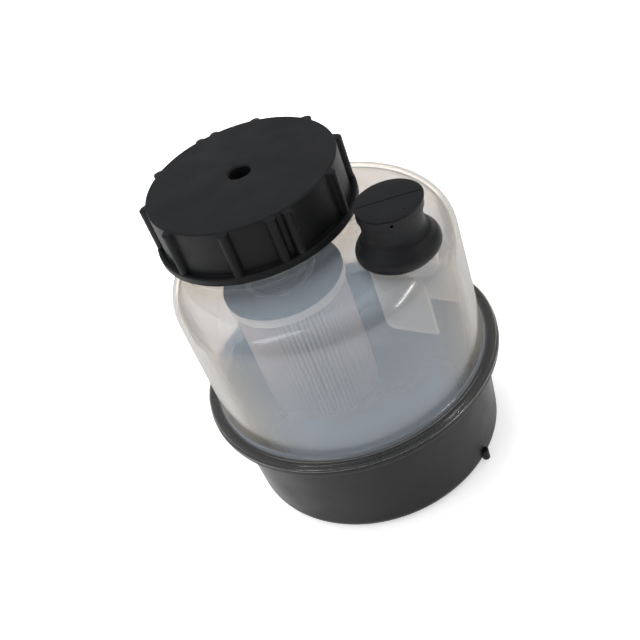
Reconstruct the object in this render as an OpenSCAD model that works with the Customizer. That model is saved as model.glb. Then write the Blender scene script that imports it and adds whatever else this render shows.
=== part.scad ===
// Power steering fluid reservoir: a black moulded base cup welded to a translucent
// domed housing, with an off-centre screw cap, a rubber breather and a spring-held
// return filter inside. Origin at the middle of the base's underside, +Z up,
// +Y towards the mounting face and the hose spigots. Sizes in millimetres.

/* [Base cup] */
// Height of the base from its underside to the weld face
base_h = 57; // [50:0.5:70]
// Outer radius of the base wall just under its flange
base_top_r = 67.2; // [64:0.1:69]
// Outer radius of the base wall at the underside
base_low_r = 65.2; // [62:0.1:67]
// Radius of the rounded edge round the underside
base_edge_r = 6; // [4:0.5:8]
// Wall thickness of the base
base_wall = 3; // [2.2:0.1:4]
// Thickness of the base's floor
floor_t = 3.2; // [2.4:0.1:5]
// Radial reach of the two weld flanges
flange_r = 75; // [72:0.5:78]
// Thickness of the base's own flange
base_flange_t = 3.2; // [2.4:0.1:4.5]
// Radius of the fillet between the base's wall and its flange
base_root_r = 1.8; // [1:0.1:2.4]
// Step by which the base's flange is smaller than the dome's
flange_step = 0.5; // [0.2:0.1:1.5]
// Width of a locating tongue inside the rim
tongue_w = 8; // [6:0.5:10]
// Thickness of a locating tongue, inwards from the wall
tongue_t = 4.2; // [3:0.1:5]
// Rise of a tongue above the weld face
tongue_rise = 3; // [2:0.5:5]
// Depth of a tongue below the weld face
tongue_drop = 14; // [8:0.5:20]
// Turn of each tongue from the X axis towards the mounting bosses
tongue_turn = 31.5; // [26:0.5:36]

/* [Dome] */
// Outer radius of the dome's wall
dome_r = 67.7; // [65:0.1:69]
// Height of the dome's roof above the weld face
dome_h = 74; // [66:0.5:84]
// Radius of the shoulder between wall and roof
shoulder_r = 12; // [8:0.5:16]
// Wall thickness of the dome
dome_wall = 2.5; // [1.8:0.1:3.2]
// Height of the flange's outer edge above the weld face
lip_h = 1.3; // [0.8:0.1:2]
// Height of the rounded bead on top of the flange
bead_h = 2.9; // [2.2:0.1:3.6]
// Depth of the bead's fall to the groove at the wall's foot
groove_drop = 1.2; // [0.6:0.1:1.6]
// Turn of the cap and breather plane about the dome's axis
dome_turn = -47; // [-60:1:-30]

/* [Neck and cap] */
// Distance of the neck from the dome's axis
neck_off = 24; // [20:0.5:26]
// Outer radius of the threaded neck
neck_r = 40.5; // [38:0.5:41]
// Wall thickness of the neck
neck_wall = 3; // [2.2:0.1:4]
// Height of the neck above the dome's roof
neck_h = 28; // [24:0.5:34]
// Width of the collar round the foot of the neck
collar_w = 2.6; // [1:0.1:3]
// Height of the collar
collar_h = 2; // [1:0.1:3]
// Gap between the neck and the cap's bore, which the threads fill
thread_gap = 1.1; // [0.8:0.1:1.5]
// Wall thickness of the cap
cap_wall = 3.2; // [2.2:0.1:3.8]
// Thickness of the cap's top
cap_top_t = 3.2; // [2.6:0.1:4]
// Height of the cap from rim to top face
cap_h = 25.5; // [22:0.5:29]
// Reach of the cap's lower rim beyond its wall
rim_w = 3.4; // [2.6:0.1:5]
// Height of the cap's lower rim
rim_h = 3.6; // [3:0.1:6]
// Rounding of the cap's top edge
cap_edge = 1; // [0.5:0.1:1.5]
// Wall of the cap round and under the recess
recess_wall = 2.6; // [2:0.1:3.5]
// Height of the recess's bevel
recess_bevel = 0.8; // [0.5:0.1:2]
// Mouth radius of the recess in the middle of the cap
recess_mouth_r = 6; // [5.8:0.1:7]
// Radius of the recess below its bevel
recess_r = 5.2; // [4:0.1:5.6]
// Depth of the recess
recess_h = 7; // [5:0.5:9]
// Thickness of the seal under the cap's top
seal_t = 2.6; // [2:0.1:3.5]

/* [Cap ribs] */
// Number of evenly spaced grip ribs
rib_count = 10; // [8:1:12]
// Radius of a grip rib
rib_r = 2.3; // [1.6:0.1:2.8]
// Turn of the first rib
rib_phase = 34.3; // [0:0.1:36]
// Angle between the two ribs of a pair
pair_angle = 9.6; // [9:0.1:12]
// Distance of a rib's crest inside the rim's edge
rib_inset = 0.3; // [0.2:0.1:1.5]
// Distance of a rib's end below the cap's top face
rib_drop = 0.9; // [0.8:0.1:3]

/* [Breather] */
// Distance of the breather from the dome's axis
breather_off = 51; // [48:0.5:53]
// Outer radius of the raised seat under the breather
seat_r = 15.4; // [13:0.1:16]
// Height of the seat above the dome's roof
seat_h = 1; // [0.6:0.1:2]
// Outer radius of the breather nipple
nipple_r = 7; // [5:0.1:8]
// Bore radius of the breather nipple
nipple_bore_r = 4.5; // [3:0.1:6]
// Height of the breather nipple above its seat
nipple_h = 14; // [10:0.5:16]
// Largest radius of the rubber breather's flange
breather_flange_r = 18.5; // [17:0.1:21]
// Radius of the rubber breather's waist
breather_waist_r = 13; // [11:0.1:14]
// Radius of the rubber breather's head
breather_head_r = 14.7; // [13.5:0.1:17]
// Height of the rubber breather
breather_h = 26.6; // [24:0.1:32]
// Radial running gap between rubber and nipple
breather_fit = 0.05; // [0.02:0.01:0.1]
// Width of the slit across the breather's head
slit_w = 0.7; // [0.4:0.1:1.2]
// Depth of the slit
slit_h = 1.2; // [0.6:0.1:2]
// Turn of the slit
slit_turn = -13; // [-30:1:30]
// Radius of the side vent under the head
vent_r = 0.7; // [0.5:0.1:1.2]
// Height of the side vent above the seat
vent_h = 23; // [21:0.1:23.1]
// Turn of the side vent
vent_turn = -103; // [-180:1:180]
// Thickness of the rubber over the vent chamber
head_t = 2.6; // [2.2:0.1:3.2]

/* [Splash plates] */
// Turn of the middle plane between the splash plates about the dome's axis
plate_turn = -43; // [-50:1:-38]
// Distance of each splash plate from that middle plane
plate_off = 12.7; // [10:0.1:14]
// Thickness of a splash plate
plate_t = 1.6; // [1.2:0.1:2.4]
// Height of the front plate's lower edge above the weld face
plate_low = 38; // [30:0.5:50]
// Reach of the rear plate below the front one
plate_step = 4.2; // [0:0.1:8]
// Distance of a plate's inner edge from the dome's axis
plate_in = 39.5; // [38:0.5:46]
// Radius of the rounded lower corner
plate_corner_r = 4; // [2:0.5:8]

/* [Filter] */
// Outer radius of the filter element
filter_r = 30.2; // [26:0.1:34]
// Length of the filter element over its end caps
filter_h = 76; // [60:0.5:80]
// Height of the end caps' rolled skirts
skirt_h = 4.6; // [3:0.1:6]
// Sheet thickness of the end caps
sheet_t = 0.6; // [0.5:0.1:1]
// Number of paper pleats
pleats = 76; // [60:2:90]
// Thickness of the folded paper
paper_t = 0.8; // [0.6:0.1:1]
// Radial depth of the pleats
pleat_depth = 11; // [8:0.5:13]
// Gap between the pleats' outer folds and the end caps' skirts
pleat_gap = 0.4; // [0.2:0.1:0.8]
// Gap between the pleats' inner folds and the perforated centre tube
core_gap = 0.3; // [0.2:0.1:1]
// Wall thickness of the centre tube
core_t = 0.7; // [0.5:0.1:1]
// Radius of the holes in the centre tube
core_hole_r = 2; // [1.5:0.1:3]
// Rows of holes in the centre tube
core_rows = 5; // [3:1:6]
// Holes in each row
core_holes = 8; // [6:2:10]
// Bypass lift of the filter against its spring
filter_lift = 6; // [4:0.5:8]
// Opening between the filter's seal and its nipple at full bypass lift
bypass_gap = 1.5; // [0.5:0.1:2.5]

/* [Spring and its plate] */
// Thickness of the plastic spring plate
plate_disc_t = 2.4; // [2:0.1:4]
// Height of the rim that centres the spring
spring_rim_h = 5; // [3:0.5:8]
// Wall thickness of that rim
spring_rim_t = 1.8; // [1.2:0.1:2.5]
// Mean radius of the spring
spring_r = 17; // [14:0.5:20]
// Wire radius of the spring
wire_r = 1.1; // [0.8:0.1:1.5]
// Turns of the spring
spring_turns = 5; // [4:1:8]
// Gap between the spring and the plate's rim
spring_clear = 0.4; // [0.2:0.1:0.8]

/* [Hose spigots] */
// Outer radius of the suction spigot
suction_r = 14; // [12:0.5:14.5]
// Bore radius of the suction spigot
suction_bore_r = 11; // [9:0.5:11.5]
// Sideways place of the suction spigot
suction_x = 24; // [20:0.5:28]
// Height of the suction spigot's axis
suction_z = 21.2; // [20.2:0.5:24.2]
// Outer radius of the return spigot
return_r = 9; // [8:0.5:10]
// Bore radius of the return spigot
return_bore_r = 6; // [5:0.5:6.5]
// Height of the return spigot's axis
return_z = 14.7; // [13.2:0.5:17.2]
// Distance from the dome's axis to the spigots' ends
spigot_reach = 94; // [88:1:100]
// Height of the hose-gripping bead at a spigot's end
barb_h = 0.9; // [0.5:0.1:1.2]
// Length of the bead with both of its slopes
barb_l = 4.8; // [3.6:0.1:6]
// Length of the bead's level crest, which the hose is pressed over
barb_crest_l = 1.6; // [1:0.1:2]
// Plain length of a spigot between its bead and its mouth
barb_setback = 1.5; // [1:0.1:3]

/* [Filter seat] */
// Radius of the pedestal that carries the filter
pedestal_r = 13; // [12:0.5:14]
// Height of the pedestal's shoulder above the underside
pedestal_z = 24.2; // [24:0.1:27]
// Outer radius of the filter nipple on the pedestal
seat_nipple_r = 8.5; // [7:0.1:9.5]
// Thickness of the filter's rubber seal
sleeve_t = 2; // [1.5:0.1:3]
// Thickness of the seal's lip inside the end cap's opening
seal_lip_t = 1; // [0.8:0.1:1.4]
// Gap between the seal and the nipple, and between its lip and the end cap
seal_fit = 0.05; // [0.02:0.01:0.1]

/* [Mounting] */
// Sideways place of each mounting boss
boss_x = 52; // [48:0.5:54]
// Distance from the dome's axis to the mounting faces
boss_y = 68; // [64:0.5:72]
// Height of the mounting bosses
boss_z = 34; // [30:0.5:40]
// Radius of a mounting boss
boss_r = 7.5; // [7:0.1:9]
// Thickness of the webs above and below a boss
boss_web_t = 4; // [3:0.1:5]
// Depth of the lower web at the wall, below the boss's axis
boss_web_drop = 22; // [14:1:26]
// Outer radius of a brass insert
insert_r = 5; // [4.5:0.1:6]
// Bore radius of a brass insert
insert_bore_r = 3.4; // [2.5:0.1:4.2]
// Length of a brass insert
insert_l = 16; // [10:1:18]
// Thickness of the insert's closed end
insert_floor_t = 2; // [1:0.1:3]
// Reach of the insert's collar beyond its barrel
insert_collar_w = 0.8; // [0.4:0.1:1.5]
// Stand-out of that collar from the boss's face
insert_collar_h = 0.4; // [0.2:0.1:1]
// Radius of the locating nib at the foot of the base
nib_r = 2; // [1.5:0.1:4]
// Height of the locating nib
nib_h = 6.5; // [5:0.5:12]
// Distance of the nib's axis from the foot of the base's wall
nib_out = 0.3; // [0:0.1:2]
// Height of the nib's foot above the underside
nib_low = 1.5; // [1:0.1:4]

/* [Hidden] */

// Smoothness of round walls
fine = 96;
medium = 48;
// Overlap used where one volume is joined to or cut from another
eps = 0.2;

// Heights that follow from the sizes above
weld_z = base_h;
flange_under_z = weld_z - base_flange_t;
roof_z = weld_z + dome_h;
neck_top_z = roof_z + neck_h;
cap_under_z = neck_top_z + seal_t;
cap_top_z = cap_under_z + cap_top_t;
cap_rim_z = cap_top_z - cap_h;
seat_z = roof_z + seat_h;

// Radii of the cap
cap_bore_r = neck_r + thread_gap;
cap_r = cap_bore_r + cap_wall;
rim_r = cap_r + rim_w;
// Reach of a rib's crest from the cap's axis
rib_crest_r = rim_r - rib_inset;

// Places of the neck and the breather in the turned dome
neck_x = -neck_off * cos(dome_turn);
neck_y = -neck_off * sin(dome_turn);
breather_x = breather_off * cos(dome_turn);
breather_y = breather_off * sin(dome_turn);

// Stack of the filter above its pedestal
filter_z = pedestal_z + sleeve_t;
filter_top_z = filter_z + filter_h;
disc_top_z = filter_top_z + plate_disc_t;
seat_nipple_h = filter_lift - bypass_gap;
paper_r = filter_r - sheet_t - pleat_gap;
paper_in_r = paper_r - pleat_depth;
core_r = paper_in_r - core_gap;

// Points of an arc about (cx, cy) from angle a0 to a1 in n steps
function arc(cx, cy, r, a0, a1, n = 8) =
    [for (i = [0:n]) [cx + r * cos(a0 + (a1 - a0) * i / n), cy + r * sin(a0 + (a1 - a0) * i / n)]];

// Moves a shape to the neck's axis
module at_neck() {
    translate([neck_x, neck_y, 0]) children();
}

// Moves a shape to the breather's axis and turns it into the breather plane
module at_breather() {
    translate([breather_x, breather_y, 0]) rotate([0, 0, dome_turn]) children();
}

// Outer radius of the base's tapered wall at a height z
function base_r_at(z) = base_low_r + (base_top_r - base_low_r) * z / base_h;

// Half outline of the base cup's outside
module base_outline() {
    polygon(concat(
        [[0, 0]],
        arc(base_low_r - base_edge_r, base_edge_r, base_edge_r, -90, 0),
        arc(base_r_at(flange_under_z) + base_root_r, flange_under_z - base_root_r,
            base_root_r, 180, 90, 5),
        [[flange_r - flange_step - 0.6, flange_under_z],
         [flange_r - flange_step, flange_under_z + 0.6],
         [flange_r - flange_step, weld_z],
         [0, weld_z]]));
}

// Half outline of the space inside the base cup
module base_space() {
    edge = base_edge_r - base_wall;
    polygon(concat(
        [[0, floor_t]],
        arc(base_low_r - base_wall - edge, floor_t + edge, edge, -90, 0, 6),
        [[base_top_r - base_wall, weld_z],
         [base_top_r - base_wall, weld_z + eps],
         [0, weld_z + eps]]));
}

// Round spigot along +Y with a hose bead at its end and an eased mouth
module spigot(x, z, r) {
    y0 = base_low_r / 2;
    ramp_l = (barb_l - barb_crest_l) / 2;
    mouth_ease = 0.8;
    translate([x, y0, z]) rotate([-90, 0, 0]) {
        cylinder(h = spigot_reach - y0 - mouth_ease, r = r, $fn = medium);
        translate([0, 0, spigot_reach - y0 - barb_l - barb_setback]) {
            cylinder(h = ramp_l, r1 = r, r2 = r + barb_h, $fn = medium);
            translate([0, 0, ramp_l])
                cylinder(h = barb_crest_l, r = r + barb_h, $fn = medium);
            translate([0, 0, ramp_l + barb_crest_l])
                cylinder(h = ramp_l, r1 = r + barb_h, r2 = r, $fn = medium);
        }
        translate([0, 0, spigot_reach - y0 - mouth_ease])
            cylinder(h = mouth_ease, r1 = r, r2 = r - 0.7, $fn = medium);
    }
}

// One mounting boss: a round barrel along Y with a web up to the flange and one below
module mounting_boss(side) {
    back_y = sqrt(pow(base_low_r - base_wall - 2, 2) - pow(boss_x, 2));
    flange_y = sqrt(pow(flange_r - flange_step - 1, 2) - pow(boss_x + boss_web_t / 2, 2));
    translate([side * boss_x, back_y, boss_z]) rotate([-90, 0, 0])
        cylinder(h = boss_y - back_y, r = boss_r, $fn = medium);
    translate([side * boss_x - boss_web_t / 2, 0, 0]) rotate([90, 0, 90])
        linear_extrude(boss_web_t)
            polygon([[back_y, boss_z - boss_web_drop], [boss_y - 8, boss_z - boss_r / 2],
                     [boss_y - 8, boss_z], [flange_y, weld_z - base_flange_t / 2],
                     [back_y, weld_z - base_flange_t / 2]]);
}

// Tongue that rises inside the rim beside a mounting boss and locates the dome
module rim_tongue(side) {
    rotate([0, 0, 90 - side * (90 - tongue_turn)])
        translate([base_top_r - base_wall - tongue_t, -tongue_w / 2, weld_z - tongue_drop])
            cube([tongue_t + eps, tongue_w, tongue_drop + tongue_rise]);
}

// Small locating nib at the foot of the wall, with eased ends
module locating_nib() {
    ease = 1.2;
    rotate([0, 0, dome_turn]) translate([base_low_r + nib_out, 0, nib_low]) {
        cylinder(h = ease, r1 = nib_r - ease, r2 = nib_r, $fn = 32);
        translate([0, 0, ease]) cylinder(h = nib_h - 2 * ease, r = nib_r, $fn = 32);
        translate([0, 0, nib_h - ease]) cylinder(h = ease, r1 = nib_r, r2 = nib_r - ease, $fn = 32);
    }
}

// Duct inside the cup from the return spigot to the filter's pedestal
module return_duct_body() {
    wall_y = sqrt(pow(base_low_r - base_wall / 2, 2) - pow(abs(neck_x) + return_r, 2));
    translate([neck_x, neck_y, return_z]) rotate([-90, 0, 0])
        cylinder(h = wall_y - neck_y, r = return_r, $fn = medium);
    translate([neck_x - return_r, neck_y, floor_t - eps])
        cube([return_r * 2, wall_y - neck_y - base_edge_r, return_z - floor_t + eps]);
    translate([neck_x, neck_y, floor_t - eps])
        cylinder(h = pedestal_z - floor_t + eps, r = pedestal_r, $fn = medium);
    translate([neck_x, neck_y, pedestal_z - eps])
        cylinder(h = seat_nipple_h + eps, r = seat_nipple_r, $fn = medium);
}

// Black base cup with flange, spigots, return duct, filter pedestal and bosses
module lower_housing() {
    color("#2b2b2b") difference() {
        union() {
            difference() {
                union() {
                    rotate_extrude($fn = fine) base_outline();
                    for (side = [-1, 1]) mounting_boss(side);
                    spigot(suction_x, suction_z, suction_r);
                    spigot(neck_x, return_z, return_r);
                    locating_nib();
                }
                rotate_extrude($fn = fine) base_space();
            }
            for (side = [-1, 1]) rim_tongue(side);
            return_duct_body();
        }
        translate([suction_x, base_low_r / 2, suction_z]) rotate([-90, 0, 0])
            cylinder(h = spigot_reach - base_low_r / 2 + eps, r = suction_bore_r, $fn = medium);
        translate([neck_x, neck_y, return_z]) rotate([-90, 0, 0])
            cylinder(h = spigot_reach - neck_y + eps, r = return_bore_r, $fn = medium);
        translate([neck_x, neck_y, return_z])
            cylinder(h = pedestal_z + seat_nipple_h - return_z + eps, r = return_bore_r, $fn = medium);
        for (side = [-1, 1])
            translate([side * boss_x, boss_y - insert_l, boss_z]) rotate([-90, 0, 0])
                cylinder(h = insert_l + eps, r = insert_r, $fn = medium);
    }
}

// Half outline of the dome's outside, from the weld face over the flange bead to the roof
module dome_outline() {
    bead_x = flange_r - 2.6;
    foot_x = dome_r + 2.2;
    polygon(concat(
        [[0, weld_z], [flange_r - 0.3, weld_z], [flange_r, weld_z + 0.3],
         [flange_r, weld_z + lip_h - 0.3], [flange_r - 0.3, weld_z + lip_h],
         [flange_r - 0.9, weld_z + lip_h]],
        arc(bead_x - 0.2, weld_z + bead_h - 1.6, 1.6, 20, 150, 6),
        [[bead_x - 2, weld_z + bead_h - groove_drop], [foot_x, weld_z + bead_h - groove_drop]],
        arc(dome_r + 1.6, weld_z + bead_h + 0.6, 1.6, -90, -180, 4),
        [[dome_r, roof_z - shoulder_r]],
        arc(dome_r - shoulder_r, roof_z - shoulder_r, shoulder_r, 7.5, 90, 11),
        [[0, roof_z]]));
}

// Half outline of the space inside the dome
module dome_space() {
    inner_r = shoulder_r - dome_wall;
    polygon(concat(
        [[0, weld_z - eps], [dome_r - dome_wall, weld_z - eps]],
        arc(dome_r - shoulder_r, roof_z - shoulder_r, inner_r, 0, 90, 12),
        [[0, roof_z - dome_wall]]));
}

// Outline of a splash plate down to a height, with its inner lower corner rounded
module plate_outline(low_z) {
    polygon(concat(
        arc(plate_in + plate_corner_r, low_z + plate_corner_r, plate_corner_r, 180, 270, 6),
        [[dome_r - 1, low_z], [dome_r - 1, roof_z - 1], [plate_in, roof_z - 1]]));
}

// Splash plates beside the breather's vent, hung from the roof out to the wall
module splash_plates() {
    rotate([0, 0, plate_turn])
        for (side = [-1, 1])
            translate([0, side * plate_off + plate_t / 2, 0]) rotate([90, 0, 0])
                linear_extrude(plate_t) plate_outline(weld_z + plate_low - (side > 0 ? plate_step : 0));
}

// Translucent dome with flange bead, threaded neck, breather seat and splash plates
module upper_housing() {
    color([0.86, 0.84, 0.80, 0.45]) difference() {
        union() {
            difference() {
                union() {
                    rotate_extrude($fn = fine) dome_outline();
                    at_breather() translate([0, 0, roof_z - shoulder_r])
                        cylinder(h = seat_z - roof_z + shoulder_r, r = seat_r, $fn = medium);
                }
                rotate_extrude($fn = fine) dome_space();
                at_breather() translate([0, 0, roof_z - shoulder_r - 1])
                    cylinder(h = seat_z - dome_wall - roof_z + shoulder_r + 1,
                             r = seat_r - dome_wall, $fn = medium);
            }
            intersection() {
                splash_plates();
                rotate_extrude($fn = fine) offset_space();
            }
            at_neck() translate([0, 0, roof_z - shoulder_r])
                cylinder(h = neck_h + shoulder_r, r = neck_r, $fn = fine);
            at_neck() translate([0, 0, roof_z - shoulder_r])
                cylinder(h = shoulder_r + collar_h, r = neck_r + collar_w, $fn = fine);
            at_breather() translate([0, 0, seat_z - dome_wall])
                cylinder(h = nipple_h + dome_wall, r = nipple_r, $fn = medium);
        }
        at_neck() translate([0, 0, roof_z - shoulder_r - 1])
            cylinder(h = neck_h + shoulder_r + 2, r = neck_r - neck_wall, $fn = fine);
        at_breather() translate([0, 0, seat_z - dome_wall - 1])
            cylinder(h = nipple_h + dome_wall + 2, r = nipple_bore_r, $fn = medium);
        neck_relief();
    }
}

// Half outline that trims the splash plates inside the dome's wall and roof
module offset_space() {
    mid = shoulder_r - dome_wall / 2;
    polygon(concat(
        [[0, weld_z], [dome_r - dome_wall / 2, weld_z]],
        arc(dome_r - shoulder_r, roof_z - shoulder_r, mid, 0, 90, 12),
        [[0, roof_z - dome_wall / 2]]));
}

// Space round the foot of the neck that stays open inside the dome
module neck_relief() {
    intersection() {
        rotate_extrude($fn = fine) dome_space();
        at_neck() translate([0, 0, roof_z - shoulder_r - 1])
            cylinder(h = shoulder_r + 1 - dome_wall, r = neck_r + collar_w + 1, $fn = fine);
    }
}

// Brass inserts moulded into the bosses
module mounting_inserts() {
    color("#b08d3c") for (side = [-1, 1])
        translate([side * boss_x, boss_y - insert_l, boss_z]) rotate([-90, 0, 0]) difference() {
            union() {
                cylinder(h = insert_l, r = insert_r, $fn = medium);
                translate([0, 0, insert_l])
                    cylinder(h = insert_collar_h, r = insert_r + insert_collar_w, $fn = medium);
            }
            translate([0, 0, insert_floor_t])
                cylinder(h = insert_l, r = insert_bore_r, $fn = medium);
        }
}

// Half outline of the cap's solid body before it is hollowed
module cap_outline() {
    rim_top = cap_rim_z + rim_h;
    polygon(concat(
        [[0, cap_rim_z], [rim_r - 0.5, cap_rim_z], [rim_r, cap_rim_z + 0.5],
         [rim_r, rim_top - 0.8], [rim_r - 0.8, rim_top], [cap_r + 0.6, rim_top + 0.5],
         [cap_r, rim_top + 1.2]],
        arc(cap_r - cap_edge, cap_top_z - cap_edge, cap_edge, 0, 90, 4),
        [[0, cap_top_z]]));
}

// One half-round grip rib at an angle, from the rim up to the top face
module grip_rib(angle) {
    rib_h = cap_h - rim_h / 2 - rib_drop;
    rib_ease = 0.7;
    rotate([0, 0, angle]) translate([rib_crest_r - rib_r, 0, cap_rim_z + rim_h / 2]) {
        cylinder(h = rib_h, r = rib_r, $fn = 32);
        translate([0, 0, rib_h])
            cylinder(h = rib_ease, r1 = rib_r, r2 = rib_r - rib_ease, $fn = 32);
        translate([cap_r - cap_wall / 2 - rib_crest_r + rib_r, -rib_r, 0])
            cube([rib_crest_r - rib_r - cap_r + cap_wall / 2, 2 * rib_r, rib_h]);
    }
}

// Black screw cap with grip ribs, two of them doubled, and a blind recess
module filler_cap() {
    step = 360 / rib_count;
    half = floor(rib_count / 2);
    color("#26272a") at_neck() difference() {
        union() {
            rotate_extrude($fn = fine) cap_outline();
            for (i = [0:rib_count - 1]) grip_rib(rib_phase + i * step);
            for (i = [2, 2 + half]) grip_rib(rib_phase + i * step - pair_angle);
        }
        difference() {
            translate([0, 0, cap_rim_z - 1])
                cylinder(h = cap_under_z - cap_rim_z + 1, r = cap_bore_r, $fn = fine);
            translate([0, 0, cap_top_z - recess_h - recess_wall])
                cylinder(h = recess_h + 1, r = recess_r + recess_wall, $fn = medium);
        }
        translate([0, 0, cap_top_z - recess_h])
            cylinder(h = recess_h + 1, r = recess_r, $fn = medium);
        translate([0, 0, cap_top_z - recess_bevel])
            cylinder(h = recess_bevel + 0.01, r1 = recess_r, r2 = recess_mouth_r, $fn = medium);
    }
}

// Flat rubber ring between the neck's end and the cap
module cap_seal() {
    color("#17181a") at_neck() translate([0, 0, neck_top_z]) difference() {
        cylinder(h = seal_t, r = neck_r + 0.5, $fn = fine);
        translate([0, 0, -1]) cylinder(h = seal_t + 2, r = neck_r - neck_wall - 0.5, $fn = fine);
    }
}

// Coil spring that holds the filter down: one helix with a flat turn at each end
module pressure_spring() {
    color("#b9bcc0") at_neck() spring_coil(disc_top_z + 0.05, cap_under_z - 0.3);
}

// A helix of round wire between two heights, with 8 sides and rings along its turns
module spring_coil(z0, z1) {
    sides = 8;
    per_turn = 18;
    n = spring_turns * per_turn;
    rise = z1 - z0 - 2 * wire_r;
    points = [for (i = [0:n]) for (k = [0:sides - 1])
        let (a = 360 * i / per_turn, w = 360 * k / sides, t = i / n,
             h = rise * min(1, max(0, (t * spring_turns - 0.75) / (spring_turns - 1.5))),
             r = spring_r + wire_r * cos(w))
        [r * cos(a), r * sin(a), z0 + wire_r + h + wire_r * sin(w)]];
    sides_faces = [for (i = [0:n - 1]) for (k = [0:sides - 1])
        [i * sides + k, (i + 1) * sides + k,
         (i + 1) * sides + (k + 1) % sides, i * sides + (k + 1) % sides]];
    ends = [[for (k = [0:sides - 1]) k], [for (k = [0:sides - 1]) n * sides + sides - 1 - k]];
    polyhedron(points, concat(sides_faces, ends));
}

// Black plastic plate on top of the filter, with a rim that centres the spring
module spring_plate() {
    rim_out = spring_r - wire_r - spring_clear;
    edge = 0.6;
    color("#1f2123") at_neck() translate([0, 0, filter_top_z]) difference() {
        union() {
            cylinder(h = plate_disc_t - edge, r = filter_r, $fn = fine);
            translate([0, 0, plate_disc_t - edge])
                cylinder(h = edge, r1 = filter_r, r2 = filter_r - edge, $fn = fine);
            cylinder(h = plate_disc_t + spring_rim_h, r = rim_out, $fn = medium);
        }
        translate([0, 0, plate_disc_t])
            cylinder(h = spring_rim_h + 1, r = rim_out - spring_rim_t, $fn = medium);
    }
}

// Sheet-metal end cap with a rolled skirt; up = 1 opens downwards
module end_cap(z, up, hole_r) {
    translate([0, 0, z]) difference() {
        cylinder(h = skirt_h, r = filter_r, $fn = fine);
        translate([0, 0, up > 0 ? -1 : sheet_t])
            cylinder(h = skirt_h - sheet_t + 1, r = filter_r - sheet_t, $fn = fine);
        if (hole_r > 0)
            translate([0, 0, -1]) cylinder(h = skirt_h + 2, r = hole_r, $fn = medium);
    }
}

// Closed upper end cap of the filter
module filter_top_cap() {
    color("#b4b6b6") at_neck() end_cap(filter_top_z - skirt_h, 1, 0);
}

// Lower end cap of the filter with the opening for the nipple
module filter_bottom_cap() {
    color("#b4b6b6") at_neck() end_cap(filter_z, -1, seat_nipple_r + seal_lip_t);
}

// Star-folded filter paper between the end caps
module pleated_paper() {
    step = 360 / pleats;
    inner = [for (i = [0:pleats - 1]) for (k = [0:1])
        let (r = k == 0 ? paper_r - paper_t : paper_in_r, a = (i + k / 2) * step)
        [r * cos(a), r * sin(a)]];
    outer = [for (i = [0:pleats - 1]) for (k = [0:1])
        let (r = k == 0 ? paper_r : paper_in_r + paper_t * 1.6, a = (i + k / 2) * step)
        [r * cos(a), r * sin(a)]];
    color("#cbb9a8") at_neck() translate([0, 0, filter_z + sheet_t])
        linear_extrude(filter_h - 2 * sheet_t) difference() {
            polygon(outer);
            polygon(inner);
        }
}

// Perforated centre tube that carries the paper against the oil's flow
module filter_core() {
    tube_h = filter_h - 2 * sheet_t;
    row_gap = tube_h / core_rows;
    color("#a9abad") at_neck() translate([0, 0, filter_z + sheet_t]) difference() {
        cylinder(h = tube_h, r = core_r, $fn = medium);
        translate([0, 0, -1]) cylinder(h = tube_h + 2, r = core_r - core_t, $fn = medium);
        for (row = [0:core_rows - 1]) for (i = [0:core_holes - 1])
            translate([0, 0, row_gap * (row + 0.5)])
                rotate([0, 90, (i + (row % 2) / 2) * 360 / core_holes])
                    translate([0, 0, core_r - 3])
                        cylinder(h = 4, r = core_hole_r, $fn = 24);
    }
}

// Rubber grommet between the filter's lower end cap and the pedestal
module filter_seal() {
    color("#151617") at_neck() translate([0, 0, pedestal_z]) difference() {
        union() {
            cylinder(h = sleeve_t, r = pedestal_r - 0.8, $fn = medium);
            cylinder(h = sleeve_t + 2 * sheet_t, r = seat_nipple_r + seal_lip_t - seal_fit, $fn = medium);
        }
        translate([0, 0, -1])
            cylinder(h = sleeve_t + 4, r = seat_nipple_r + seal_fit, $fn = medium);
    }
}

// Half outline of the rubber breather's outside
module breather_outline() {
    z0 = seat_z;
    bulge_z = z0 + 4.2;
    head_z = z0 + breather_h;
    polygon(concat(
        [[0, z0], [breather_flange_r - 2.6, z0]],
        arc(breather_flange_r - 3.6, bulge_z, 3.6, -70, 62, 7),
        arc(breather_waist_r + 4.4, z0 + 13, 4.4, 250, 180, 5),
        [[breather_waist_r + 0.35, z0 + 17.5], [breather_waist_r + 1, z0 + 20.6],
         [breather_head_r - 0.4, head_z - 2.4], [breather_head_r, head_z - 1.7],
         [breather_head_r - 0.2, head_z - 1], [breather_head_r - 1.4, head_z - 0.4],
         [breather_head_r - 5, head_z - 0.1], [0, head_z]]));
}

// Rubber breather: a mushroom-shaped cap with a slit head and a side vent
module breather_cap() {
    color("#242527") translate([breather_x, breather_y, 0]) difference() {
        rotate_extrude($fn = fine) breather_outline();
        translate([0, 0, seat_z - 1])
            cylinder(h = nipple_h + 1.4, r = nipple_r + breather_fit, $fn = medium);
        translate([0, 0, seat_z + nipple_h - 0.1])
            cylinder(h = breather_h - nipple_h - head_t, r = nipple_r + 2, $fn = medium);
        rotate([0, 0, slit_turn])
            translate([-breather_head_r - 1, -slit_w / 2, seat_z + breather_h - slit_h])
                cube([2 * breather_head_r + 2, slit_w, slit_h + 1]);
        rotate([0, 0, vent_turn]) translate([0, 0, seat_z + vent_h]) rotate([0, 90, 0])
            cylinder(h = breather_head_r + 2, r = vent_r, $fn = 24);
    }
}

lower_housing();
upper_housing();
mounting_inserts();
filler_cap();
cap_seal();
pressure_spring();
spring_plate();
filter_top_cap();
pleated_paper();
filter_core();
filter_bottom_cap();
filter_seal();
breather_cap();
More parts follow.
